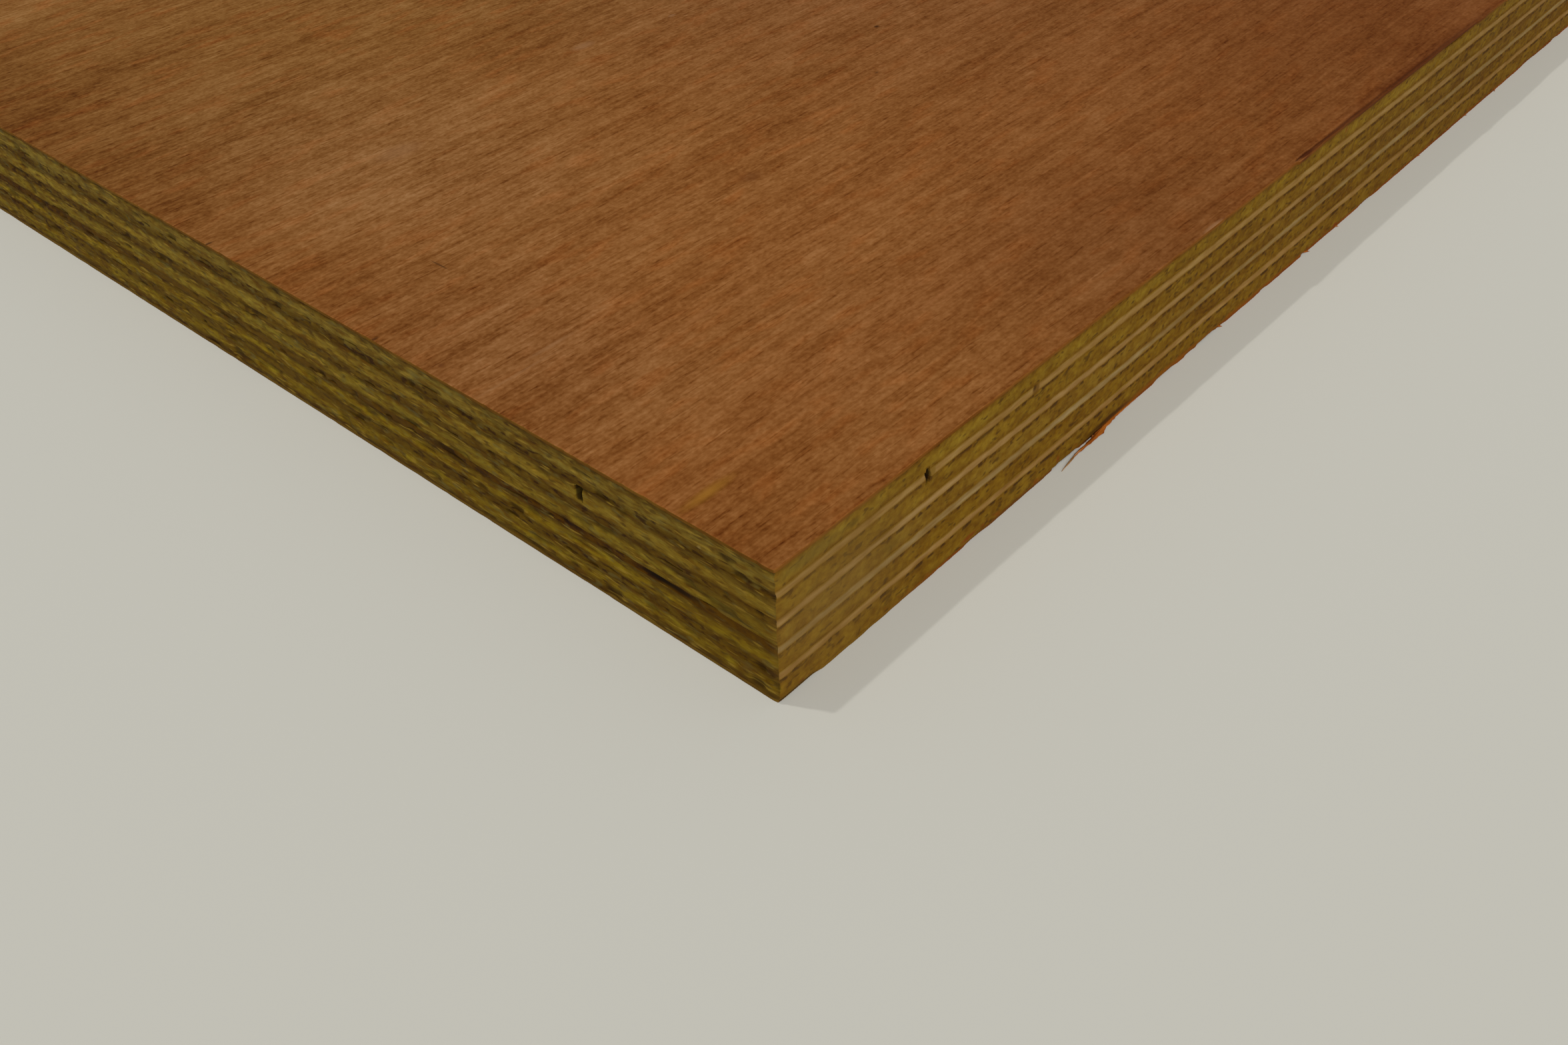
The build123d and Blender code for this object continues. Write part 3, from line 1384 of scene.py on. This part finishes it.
@dataclass
class Veneer:
    """One veneer of the sheet: a closed shell, rough on its sawn edges, lying between two glue lines.

    Cap rings are the rings of its flat faces: how far inside the outline each lies, and how much of the
    glue line's wander it keeps.
    """

    ply: Ply
    stock: Stock
    outline: Outline
    bottom: Boundary
    top: Boundary
    seed: int
    ledge: float = 0.6
    corner_wear: float = 0.10
    wear_reach: float = 0.3
    rim_clearance: float = 0.2
    rim_step: float = 0.04
    cap_rings: tuple[Pair, ...] = ((1.3, 0.9), (2.6, 0.7), (5.0, 0.4), (10.0, 0.1), (20.0, 0.0))
    cap_step: float = 0.3

    @property
    def thickness(self) -> float:
        """Distance between the two glue lines, without their wander."""
        return self.top.height - self.bottom.height

    def levels(self) -> np.ndarray:
        """Shares of the veneer's height at which the sawn edge has rows.

        Returns:
            Even shares, and where the stock has rim rows two more at each rim of a dip well inside it.
        """
        rims = [rim - self.bottom.height for dip in self.ply.dips for rim in (dip.low, dip.high)]
        inside = [rim for rim in rims if self.rim_clearance < rim < self.thickness - self.rim_clearance]
        steps = (-self.rim_step, self.rim_step) if self.stock.rim_rows else ()
        extra = [(rim + step) / self.thickness for rim in inside for step in steps]
        return np.unique(np.concatenate((np.linspace(0.0, 1.0, self.stock.rows + 1), extra)))

    def depth(self, side: Side, height: np.ndarray) -> np.ndarray:
        """Depth of the sawn edge inside the outline, with its roughness, dips and worn corners.

        Args:
            side: the edge.
            height: height of each point, one row for each station.

        Returns:
            Depths in millimetres.
        """
        face = self.stock.short_face if side.edge.is_short else self.stock.long_face
        depth = face.depth(side, height, self.seed)
        for dip in self.ply.dips:
            depth = np.maximum(depth, dip.cut(side, height))
        to_corner = np.minimum(side.places, side.length - side.places)
        return depth + self.corner_wear * np.exp(-to_corner / self.wear_reach)[:, None]

    def profile(self, sides: list[Side]) -> list[Row]:
        """The rows of the sawn edge, from the lower glue line to the upper one, inner ends first and last.

        Args:
            sides: the four edges.

        Returns:
            The rows.
        """
        levels = self.levels()
        heights = []
        for side in sides:
            low, high = self.bottom.heights(side)[:, None], self.top.heights(side)[:, None]
            heights.append(low + (high - low) * levels)
        depths = [self.depth(side, height) for side, height in zip(sides, heights)]
        ribbon = (self.ledge + levels * self.thickness) / (2.0 * self.ledge + self.thickness)
        rows = [
            Row([depth[:, number] for depth in depths], [height[:, number] for height in heights], share)
            for number, share in enumerate(ribbon)
        ]
        first, last = (
            Row([inset + self.ledge for inset in row.insets], row.heights, share)
            for row, share in ((rows[0], 0.0), (rows[-1], 1.0))
        )
        return [first, *rows, last]

    def slots_of_rows(self, count: int) -> list[Slot]:
        """The slot of each strip between two rows."""
        return [Slot.SAWN] * (count - 1)

    def cap(self, piece: Piece, bake: BakeMap, sides: list[Side], row: Row, outer: np.ndarray,
            upper: bool) -> None:
        """Closes the shell with a flat face: rings with ever fewer stations, then a point in the middle.

        Args:
            piece: the piece that gets the faces.
            bake: the piece's bake map.
            sides: the four edges.
            row: the row that the face starts from.
            outer: the numbers of that row's points.
            upper: True for the upper face, and False for the lower one, which is turned over.
        """
        line = self.top if upper else self.bottom
        slot = self.stock.upper_slot if upper else self.stock.under_slot
        outer_map = bake.flat(Outline.ring(sides, row.insets), slot)
        blocks = []
        for number, (inset, wander) in enumerate(self.cap_rings, 1):
            keep = 2**number
            thin = [side.thinned(keep) for side in sides]
            deep = [np.maximum(inset, given[::keep] + self.cap_step * number) for given in row.insets]
            points = Outline.ring(thin, deep)
            height = line.height + (line.ring(thin) - line.height) * wander
            inner, inner_map = piece.add_points(np.column_stack((points, height))), bake.flat(points, slot)
            blocks.append((self.halved(outer, inner), self.halved(outer_map, inner_map)))
            outer, outer_map = inner, inner_map
        middle = np.array([[self.outline.length / 2.0, self.outline.width / 2.0]])
        hub = piece.add_points(np.column_stack((middle, [line.height])))
        blocks.append((self.fan(outer, hub), self.fan(outer_map, bake.flat(middle, slot))))
        turn = 1 if upper else -1
        for corners, places in blocks:
            piece.add_faces(corners[:, ::turn], places[:, ::turn], slot, np.zeros(1))

    @staticmethod
    def halved(outer: np.ndarray, inner: np.ndarray) -> np.ndarray:
        """Triangles between a ring and one with half as many points: three for each inner point.

        Args:
            outer: number or map place of each point of the outer ring.
            inner: the same for the inner ring.

        Returns:
            The three corners of each triangle, as numbers or map places.
        """
        first, second, third = outer[0::2], outer[1::2], np.roll(outer, -2, axis=0)[0::2]
        following = np.roll(inner, -1, axis=0)
        triangles = ((first, second, inner), (second, third, following), (second, following, inner))
        return np.concatenate([np.stack(corners, axis=1) for corners in triangles])

    @staticmethod
    def fan(ring: np.ndarray, hub: np.ndarray) -> np.ndarray:
        """Triangles from each stretch of a ring to one point, as numbers or map places."""
        return np.stack((ring, np.roll(ring, -1, axis=0), np.broadcast_to(hub, ring.shape)), axis=1)

    def build(self) -> Piece:
        """Makes the shell: the profile's rows carried round the outline, closed below and above.

        Returns:
            The points and faces.
        """
        sides = self.outline.sides()
        piece = Piece(f"{self.ply.node}_dressed")
        bake = BakeMap(self.outline, self.stock.folds, self.stock.face_share)
        rows = self.profile(sides)
        low, high = self.bottom.ring(sides), self.top.ring(sides)
        start = joined([side.share for side in sides]) * self.outline.perimeter
        end = np.concatenate([side.share[1:] for side in sides]) * self.outline.perimeter
        short = joined([np.full(side.places.shape, float(side.edge.is_short)) for side in sides])
        numbers = []
        for row in rows:
            height = joined(row.heights)
            hollow = joined(row.hollow) if row.hollow else 0.0
            points = np.column_stack((Outline.ring(sides, row.insets), height))
            numbers.append(piece.add_points(points, height - low, high - height, hollow))
        for number, slot in enumerate(self.slots_of_rows(len(rows))):
            below, above = numbers[number:number + 2]
            corners = np.column_stack((below, np.roll(below, -1), np.roll(above, -1), above))
            shares = [np.full(len(start), row.ribbon) for row in rows[number:number + 2]]
            piece.add_faces(corners, bake.ribbon(start, end, *shares), slot, short)
        self.cap(piece, bake, sides, rows[0], numbers[0], False)
        self.cap(piece, bake, sides, rows[-1], numbers[-1], True)
        return piece

    def place(self, corner: Vector, materials: list[bpy.types.Material]) -> bpy.types.Object:
        """Builds the veneer and puts it in the stead of its CAD node.

        Args:
            corner: place of the photographed corner, in metres.
            materials: the material of each slot.

        Returns:
            The finished object.
        """
        made = self.build().make(corner, materials)
        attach(made, "root")
        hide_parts(self.ply.node)
        mesh = made.data
        triangles = sum(len(polygon.vertices) - 2 for polygon in mesh.polygons)
        log.info("%s: %d points, %d triangles", made.name, len(mesh.vertices), triangles)
        return made


@dataclass
class FaceVeneer(Veneer):
    """The sanded face: a slightly rounded upper arris, and a crack behind the slivers that lean out.

    Arris rows give shares of the arris inward and down, and crack rows shares of the crack's width and
    depth; the last of the three is the row's place on the ribbon.
    """

    slivers: tuple[Sliver, ...] = (
        Sliver(102.7, 109.5, 0.30, 0.18), Sliver(109.9, 122.0, 0.12, 0.10), Sliver(122.4, 148.0, 0.08, 0.06),
        Sliver(161.5, 164.5, 0.20, 0.18), Sliver(164.9, 172.5, 0.08, 0.06), Sliver(172.9, 186.0, 0.20, 0.10),
    )
    arris: float = 0.07
    arris_rows: tuple[Triple, ...] = ((0.0, 1.0, 0.80), (0.3, 0.3, 0.82), (1.0, 0.0, 0.84))
    crack_rows: tuple[Triple, ...] = (
        (-1 / 2, 0.0, 0.87), (-1 / 6, 1.0, 0.90), (1 / 6, 1.0, 0.93), (1 / 2, 0.0, 0.96),
    )
    crack_places: tuple[float, ...] = (102.2, 102.9, 110.0, 113.0, 140.0, 165.0)
    crack_strengths: tuple[float, ...] = (0.0, 1.0, 0.65, 0.45, 0.35, 0.0)
    crack_from_arris: tuple[float, ...] = (0.32, 0.30, 0.36, 0.40, 0.44, 0.46)
    crack_width: float = 0.34
    crack_depth: float = 0.24
    crack_cell: float = 3.0
    crack_wander: float = 0.06
    crack_seed: int = 9
    sanded_ledge: float = 0.9

    def depth(self, side: Side, height: np.ndarray) -> np.ndarray:
        """The sawn edge's depth, less the lean of the slivers.

        Args:
            side: the edge.
            height: height of each point.

        Returns:
            Depths in millimetres.
        """
        depth = super().depth(side, height)
        if side.edge is Edge.NEAR_LONG:
            for sliver in self.slivers:
                depth -= sliver.lean(side.from_corner)[:, None]
        return depth

    def crack(self, side: Side) -> tuple[np.ndarray, np.ndarray]:
        """Where the crack runs on an edge, as its distance from the arris, and how deep it is.

        Args:
            side: the edge.

        Returns:
            Distances, and strengths from 0 where there is no crack to 1, at each station.
        """
        cells = round(side.perimeter / self.crack_cell)
        wander = ring_noise(side.share, cells, np.zeros(1), self.seed + self.crack_seed)
        distance = np.interp(side.from_corner, self.crack_places, self.crack_from_arris)
        distance = distance + self.crack_wander * (wander + 1.0)
        if side.edge is not Edge.NEAR_LONG:
            return distance, np.zeros(distance.shape)
        return distance, np.interp(side.from_corner, self.crack_places, self.crack_strengths)

    def profile(self, sides: list[Side]) -> list[Row]:
        """The rows of the sawn edge, then the rounded arris and the crack on the upper face.

        Args:
            sides: the four edges.

        Returns:
            The rows.
        """
        *rows, edge, _ = super().profile(sides)
        for inward, down, ribbon in self.arris_rows:
            insets = [inset + inward * self.arris for inset in edge.insets]
            rows.append(Row(insets, [height - down * self.arris for height in edge.heights], ribbon))
        held = [np.maximum(inset, 0.0) for inset in edge.insets]
        distances, strengths = zip(*[self.crack(side) for side in sides])
        for across, opened, ribbon in self.crack_rows:
            insets = [inset + away + across * self.crack_width for inset, away in zip(held, distances)]
            hollow = [opened * strength for strength in strengths]
            heights = [height - self.crack_depth * deep for height, deep in zip(edge.heights, hollow)]
            rows.append(Row(insets, heights, ribbon, hollow))
        rows.append(Row([inset + self.ledge + self.sanded_ledge for inset in held], edge.heights, 1.0))
        return rows

    def slots_of_rows(self, count: int) -> list[Slot]:
        """Sawn up to the middle of the arris, and sanded from there on."""
        sanded = len(self.arris_rows) + len(self.crack_rows) - 1
        return [Slot.SAWN] * (count - 1 - sanded) + [Slot.SANDED] * sanded


@dataclass(frozen=True)
class Splinter:
    """A sliver torn from the back veneer: X, Y and width at a few places, from its root to its tip."""

    knots: tuple[Triple, ...]

    def line(self, steps: int) -> np.ndarray:
        """The sliver's line, straight from knot to knot.

        Args:
            steps: how many places along it.

        Returns:
            X, Y and width at even steps.
        """
        knots = np.array(self.knots)
        walked = np.concatenate(([0.0], np.cumsum(np.hypot(*np.diff(knots[:, :2], axis=0).T))))
        even = np.linspace(0.0, walked[-1], steps)
        return np.column_stack([np.interp(even, walked, values) for values in knots.T])


@dataclass
class Splinters:
    """Torn slivers of the back veneer along the foot of the long edge.

    Each is a four-sided profile carried along the sliver's line, lying on the floor. Those at the barb
    places are short, and the others are longer and lean out further. Each starts at the root's Y, and
    its bend is the share of its length, the Y and the share of its width at its middle knot.
    """

    corner: Vector
    wood: Colour = linear(142, 76, 20)
    tail_wood: Colour = linear(150, 116, 76)
    count: int = 90
    reach: Pair = (215.0, 2300.0)
    steps: int = 48
    thickness: float = 0.26
    off_floor: float = 0.01
    unevenness: float = 0.25
    seed: int = 71
    lengths: Pair = (0.6, 1.3)
    outs: Pair = (0.12, 0.3)
    widths: Pair = (0.2, 0.4)
    longer: Pair = (1.0, 4.0)
    further: Pair = (1.0, 2.5)
    root: float = 0.3
    bend: Triple = (0.4, 0.05, 0.8)
    tip_width: float = 0.05
    tail: Pair = (54.5, 50.5)
    streak_cell: Triple = (3.0, 0.22, 0.22)
    darkest: float = 0.15
    contrast: float = 1.6
    roughness: float = 0.8
    relief: float = 0.08
    strip: Splinter = Splinter((
        (71.0, 0.20, 0.30), (62.4, 0.10, 0.45), (59.3, -0.05, 0.80), (58.1, -0.28, 0.95),
        (56.9, -0.42, 0.60), (54.5, -0.47, 0.40), (52.8, -0.44, 0.32), (51.3, -0.66, 0.26),
        (50.1, -0.80, 0.20), (48.9, -0.93, 0.06),
    ))
    barb_places: tuple[float, ...] = (57.6, 87.6, 112.2, 121.6, 149.6, 168.0, 181.0)

    def slivers(self) -> list[Splinter]:
        """The long strip, a short barb at each of its places, and slivers of random size beyond them.

        Returns:
            All slivers.
        """
        random = np.random.default_rng(self.seed)
        spare = self.count - len(self.barb_places)
        starts = np.concatenate((self.barb_places, random.uniform(*self.reach, spare)))
        lengths = random.uniform(*self.lengths, self.count)
        lengths[len(self.barb_places):] *= random.uniform(*self.longer, spare)
        lengths *= random.choice([-1.0, 1.0], self.count)
        outs = random.uniform(*self.outs, self.count)
        outs[len(self.barb_places):] *= random.uniform(*self.further, spare)
        widths = random.uniform(*self.widths, self.count)
        bend_x, bend_y, bend_width = self.bend
        return [self.strip] + [
            Splinter((
                (x, self.root, width), (x + bend_x * length, bend_y, bend_width * width),
                (x + length, -out, self.tip_width),
            ))
            for x, length, out, width in zip(starts, lengths, outs, widths)
        ]

    def build(self) -> bpy.types.Object:
        """Makes all slivers as one mesh.

        Returns:
            The object.
        """
        slivers = self.slivers()
        lines = np.stack([sliver.line(self.steps) for sliver in slivers])
        x, y, width = (lines[:, :, part] for part in range(3))
        noise = np.random.default_rng(self.seed + 1).uniform(-1.0, 1.0, x.shape)
        half_width = width / 2.0 * (1.0 + self.unevenness * noise)
        half_height = np.minimum(self.thickness, width) / 2.0
        turns = ((0.0, -1.0), (1.0, 0.0), (0.0, 1.0), (-1.0, 0.0))
        points = np.stack([
            np.stack((x, y + half_width * side, self.off_floor + half_height * (1.0 + up)), axis=-1)
            for side, up in turns
        ], axis=2)
        number, sides = len(slivers), len(turns)
        grid = np.arange(number * self.steps * sides).reshape(number, self.steps, sides)
        here, after = grid[:, :-1, :], grid[:, 1:, :]
        walls = np.stack((here, np.roll(here, -1, axis=2), np.roll(after, -1, axis=2), after), axis=-1)
        ends = np.concatenate((grid[:, 0, ::-1], grid[:, -1, :]))
        quads = np.concatenate((walls.reshape(-1, 4), ends))
        backwards = x[:, -1] < x[:, 0]
        flip = np.concatenate((np.repeat(backwards, (self.steps - 1) * sides), backwards, backwards))
        quads = np.where(flip[:, None], quads[:, ::-1], quads)
        mesh = bpy.data.meshes.new("back_splinters")
        mesh.from_pydata((points.reshape(-1, 3) * MM + np.array(self.corner)).tolist(), [], quads.tolist())
        mesh.materials.append(self.dress())
        made = add_object("back_splinters", mesh)
        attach(made, "root")
        log.info("%s: %d slivers", made.name, number)
        return made

    def dress(self) -> bpy.types.Material:
        """Fresh torn wood: orange-brown, streaked along the grain, with a paler tail to the long strip.

        Returns:
            The material.
        """
        nodes = FinishNodes.of("torn_back")
        places = nodes.from_corner(self.corner)
        streaks = nodes.noise(places, self.streak_cell, 3.0, 2.0)
        wood = nodes.mix(self.wood, self.tail_wood, nodes.rise(nodes.part(places, "X"), *self.tail))
        colour = nodes.shade(wood, self.darkest + streaks * self.contrast)
        return nodes.finish(colour, self.roughness, normal=nodes.bump(streaks, self.relief))


@dataclass
class Sheet:
    """The whole plywood sheet: its veneers from the underside up, and its torn splinters."""

    corner: Vector
    outline: Outline
    plies: tuple[Ply, ...] = PLIES
    long_edge_margin: Colour = linear(104, 71, 11)
    long_edge_line: Colour = linear(112, 81, 18)
    short_edge_margin: Colour = linear(72, 50, 8)
    short_edge_light: Colour = linear(98, 75, 22)
    edge_marks: tuple[Mark, ...] = (
        Mark((9.0, 0.0, 9.0), (19.0, 1.5, 14.0), linear(112, 85, 40), 0.45, 1.0),
        Mark((0.0, 5.0, 7.5), (0.8, 16.0, 12.0), linear(88, 60, 4), 0.32, 1.0),
        Mark((165.0, 0.0, 9.0), (75.0, 1.5, 16.0), linear(60, 36, 4), 0.16, 0.9),
    )

    def lines(self) -> list[Boundary]:
        """The faces between the veneers, from the floor up; the outermost two are flat.

        Returns:
            One more than there are veneers.
        """
        heights = [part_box(ply.node)[0].z / MM for ply in self.plies[1:]]
        heights.append(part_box(self.plies[-1].node)[1].z / MM)
        floor = Boundary(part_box(self.plies[0].node)[0].z / MM, 0, 0.0)
        return [floor] + [
            Boundary(height, LINE_SEED + LINE_SEED_STEP * number, ply.wander, ply.sag)
            for number, (ply, height) in enumerate(zip(self.plies, heights))
        ]

    def veneers(self) -> list[Veneer]:
        """Plans every veneer, each between its two glue lines.

        Returns:
            The veneers.
        """
        lines = self.lines()
        planned = []
        for number, ply in enumerate(self.plies):
            kind = FaceVeneer if ply.sort is Sort.FACE else Veneer
            seed = VENEER_SEED + VENEER_SEED_STEP * number
            planned.append(kind(ply, STOCKS[ply.sort], self.outline, *lines[number:number + 2], seed))
        return planned

    def edge_looks(self, ply: Ply) -> tuple[EdgeLook, EdgeLook]:
        """How a veneer looks on the long and on the short edges.

        Args:
            ply: what sets the veneer apart.

        Returns:
            The two looks.
        """
        if ply.sort is Sort.CROSS:
            flecks = (SPOTS, Flecks(1.1, 0.9, 0.45, SPECK_WOOD, ply.specks, under=0.65), *ply.flecks)
            fades, tears = ((0.0, 0.7), (0.0, 0.8)), (GREY_TEARS, BROWN_TEARS, TEARS, BRIGHT_FIBRES)
            return (
                EdgeLook(ply.long_core, self.long_edge_margin, *fades, END_TEXTURE, flecks, ply.far_shade),
                EdgeLook(ply.short_core, self.short_edge_margin, *ply.fades, STREAK_TEXTURE, tears),
            )
        if ply.sort is Sort.LONG:
            fades, tears = ((-0.05, 0.32), (0.0, 0.4)), (GREY_TEARS, TICKS)
            return (
                EdgeLook(ply.long_core, self.long_edge_line, *fades, LINE_TEXTURE, (), ply.far_shade),
                EdgeLook(ply.short_core, self.short_edge_light, *ply.fades, DARK_TEXTURE, tears),
            )
        fade = (0.0, 1.0)
        long_look = EdgeLook(ply.long_core, ply.long_core, fade, fade, LINE_TEXTURE)
        return long_look, replace(long_look, core=ply.short_core, margin=ply.short_core)

    def finishes(self, veneer: Veneer, glued: bpy.types.Material) -> list[bpy.types.Material]:
        """The materials of a veneer's slots.

        Args:
            veneer: the veneer.
            glued: the finish of glued faces.

        Returns:
            One material for each slot.
        """
        ply = veneer.ply
        sawn = SawnFinish(
            f"{ply.node}_sawn", veneer.seed / VENEER_SEED_STEP, self.corner,
            (self.outline.length, self.outline.width), *self.edge_looks(ply), (*self.edge_marks, *ply.marks),
        ).dress()
        sanded = glued
        if ply.sort is Sort.FACE:
            sanded = SandedFinish("sanded_face", 4.0, self.corner, FACE_SHADES, FACE_MARKS).dress()
        if ply.sort is Sort.BACK:
            sanded = SandedFinish("sanded_back", 9.0, self.corner).dress()
        return [sanded, sawn, glued]

    def build(self) -> list[bpy.types.Object]:
        """Builds and dresses every veneer and the splinters.

        Returns:
            The objects.
        """
        glued = GluedFinish().dress()
        made = [veneer.place(self.corner, self.finishes(veneer, glued)) for veneer in self.veneers()]
        return [*made, Splinters(self.corner).build()]


@dataclass(frozen=True)
class Lamp:
    """A lamp like the sun: the share of a level surface's light that it gives, its place and its width."""

    name: str
    share: float
    stands: Triple
    width: float

    def add(self) -> None:
        """Puts the lamp in the scene; its strength is its share times pi over the slope of its light."""
        direction = Vector(self.stands).normalized()
        data = bpy.data.lights.new(self.name, "SUN")
        data.energy = self.share * math.pi / abs(direction.z)
        data.angle = math.radians(self.width)
        made = add_object(self.name, data)
        made.rotation_mode = "QUATERNION"
        made.rotation_quaternion = direction.to_track_quat("Z", "Y")


@dataclass
class Studio:
    """A pale floor, soft light from all round, one crisp lamp, and the camera."""

    corner: Vector
    length: float
    width: float
    floor_colour: Colour = linear(194, 192, 182)
    floor_reach: float = 9.0
    opening_inset: float = 0.0015
    floor_gap: float = 0.00002
    ambient: float = 0.24
    glow_colour: Colour = (1.0, 0.995, 0.98)
    lamps: tuple[Lamp, ...] = (
        Lamp("key", 0.18, (-0.134, 0.262, 0.956), 1.5),
        Lamp("fill", 0.58, (-0.44, -0.63, 0.64), 60.0),
        Lamp("under", 0.60, (0.0, 0.0, -1.0), 60.0),
    )
    camera_from_corner: Triple = (-0.07212, -0.06881, 0.10877)
    heading: float = math.radians(43.004)
    pitch: float = math.radians(40.428)
    roll: float = math.radians(-2.388)
    focal_length: float = 33.778
    sensor_width: float = 36.0
    clip: Pair = (0.005, 100.0)

    @staticmethod
    def square(low: np.ndarray, high: np.ndarray) -> np.ndarray:
        """The four corners of a level rectangle, anticlockwise from its low corner."""
        return np.array([low, (high[0], low[1]), high, (low[0], high[1])])

    def floor(self) -> bpy.types.Object:
        """The floor: a flat frame, open under the middle of the sheet, so that the back can be seen.

        Returns:
            The floor's object.
        """
        low = np.array(self.corner.xy) + self.opening_inset
        high = np.array(self.corner.xy) + np.array((self.length, self.width)) * MM - self.opening_inset
        reach = np.full(2, self.floor_reach)
        outlines = np.concatenate((self.square(-reach, reach), self.square(low, high)))
        points = np.column_stack((outlines, np.full(len(outlines), -self.floor_gap)))
        ring = np.arange(len(outlines) // 2)
        after = np.roll(ring, -1)
        faces = np.column_stack((ring, after, after + len(ring), ring + len(ring)))
        mesh = bpy.data.meshes.new("floor")
        mesh.from_pydata(points.tolist(), [], faces.tolist())
        mesh.materials.append(self.floor_finish())
        made = add_object("floor", mesh)
        return made

    def floor_finish(self) -> bpy.types.Material:
        """Matt pale floor from above, and clear from below.

        Returns:
            The material.
        """
        nodes = FinishNodes.of("pale_floor")
        matt = nodes.node("ShaderNodeBsdfDiffuse", {}, {"Color": (*self.floor_colour, 1.0)})
        clear = nodes.node("ShaderNodeBsdfTransparent", {}, {})
        below = nodes.node("ShaderNodeNewGeometry", {}, {}, "Backfacing")
        inputs = {"Fac": below, "Shader": matt, "Shader_001": clear}
        return nodes.join_output(nodes.node("ShaderNodeMixShader", {}, inputs))

    def light(self) -> None:
        """The world, which glows softly and looks like the floor to the camera, and the lamps."""
        nodes = FinishNodes(bpy.data.worlds.new("soft_light"))
        glow, backdrop = (
            nodes.node("ShaderNodeBackground", {}, {"Color": (*colour, 1.0), "Strength": strength})
            for colour, strength in ((self.glow_colour, self.ambient), (self.floor_colour, 1.0))
        )
        seen = nodes.node("ShaderNodeLightPath", {}, {}, "Is Camera Ray")
        inputs = {"Fac": seen, "Shader": glow, "Shader_001": backdrop}
        chosen = nodes.node("ShaderNodeMixShader", {}, inputs)
        bpy.context.scene.world = nodes.join_output(chosen, "World")
        for lamp in self.lamps:
            lamp.add()

    def camera(self) -> bpy.types.Object:
        """The camera: its heading is counted from X, its pitch down, and its roll to the right.

        Returns:
            The camera's object.
        """
        level = math.cos(self.pitch)
        forward = Vector((
            level * math.cos(self.heading), level * math.sin(self.heading), -math.sin(self.pitch)
        ))
        flat_right = Vector((math.sin(self.heading), -math.cos(self.heading), 0.0))
        flat_up = flat_right.cross(forward)
        right = flat_right * math.cos(self.roll) + flat_up * math.sin(self.roll)
        up = right.cross(forward)
        data = bpy.data.cameras.new("camera")
        data.sensor_width = self.sensor_width
        data.lens = self.focal_length
        data.clip_start, data.clip_end = self.clip
        made = add_object("camera", data)
        turned = Matrix((right, up, -forward)).transposed().to_4x4()
        made.matrix_world = Matrix.Translation(self.corner + Vector(self.camera_from_corner)) @ turned
        bpy.context.scene.camera = made
        return made

    def build(self) -> None:
        """Sets up the floor, the light, the camera and the plain view transform."""
        self.floor()
        self.light()
        self.camera()
        bpy.context.scene.view_settings.view_transform = "Standard"


def main() -> None:
    """Builds the sheet and the studio round it."""
    low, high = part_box("back_veneer")
    corner = Vector((low.x, low.y, low.z))
    length, width = (high.x - low.x) / MM, (high.y - low.y) / MM
    Sheet(corner, Outline(length, width)).build()
    Studio(corner, length, width).build()


if __name__ == "__main__":
    logging.basicConfig(level=logging.INFO, format="%(message)s")
    main()
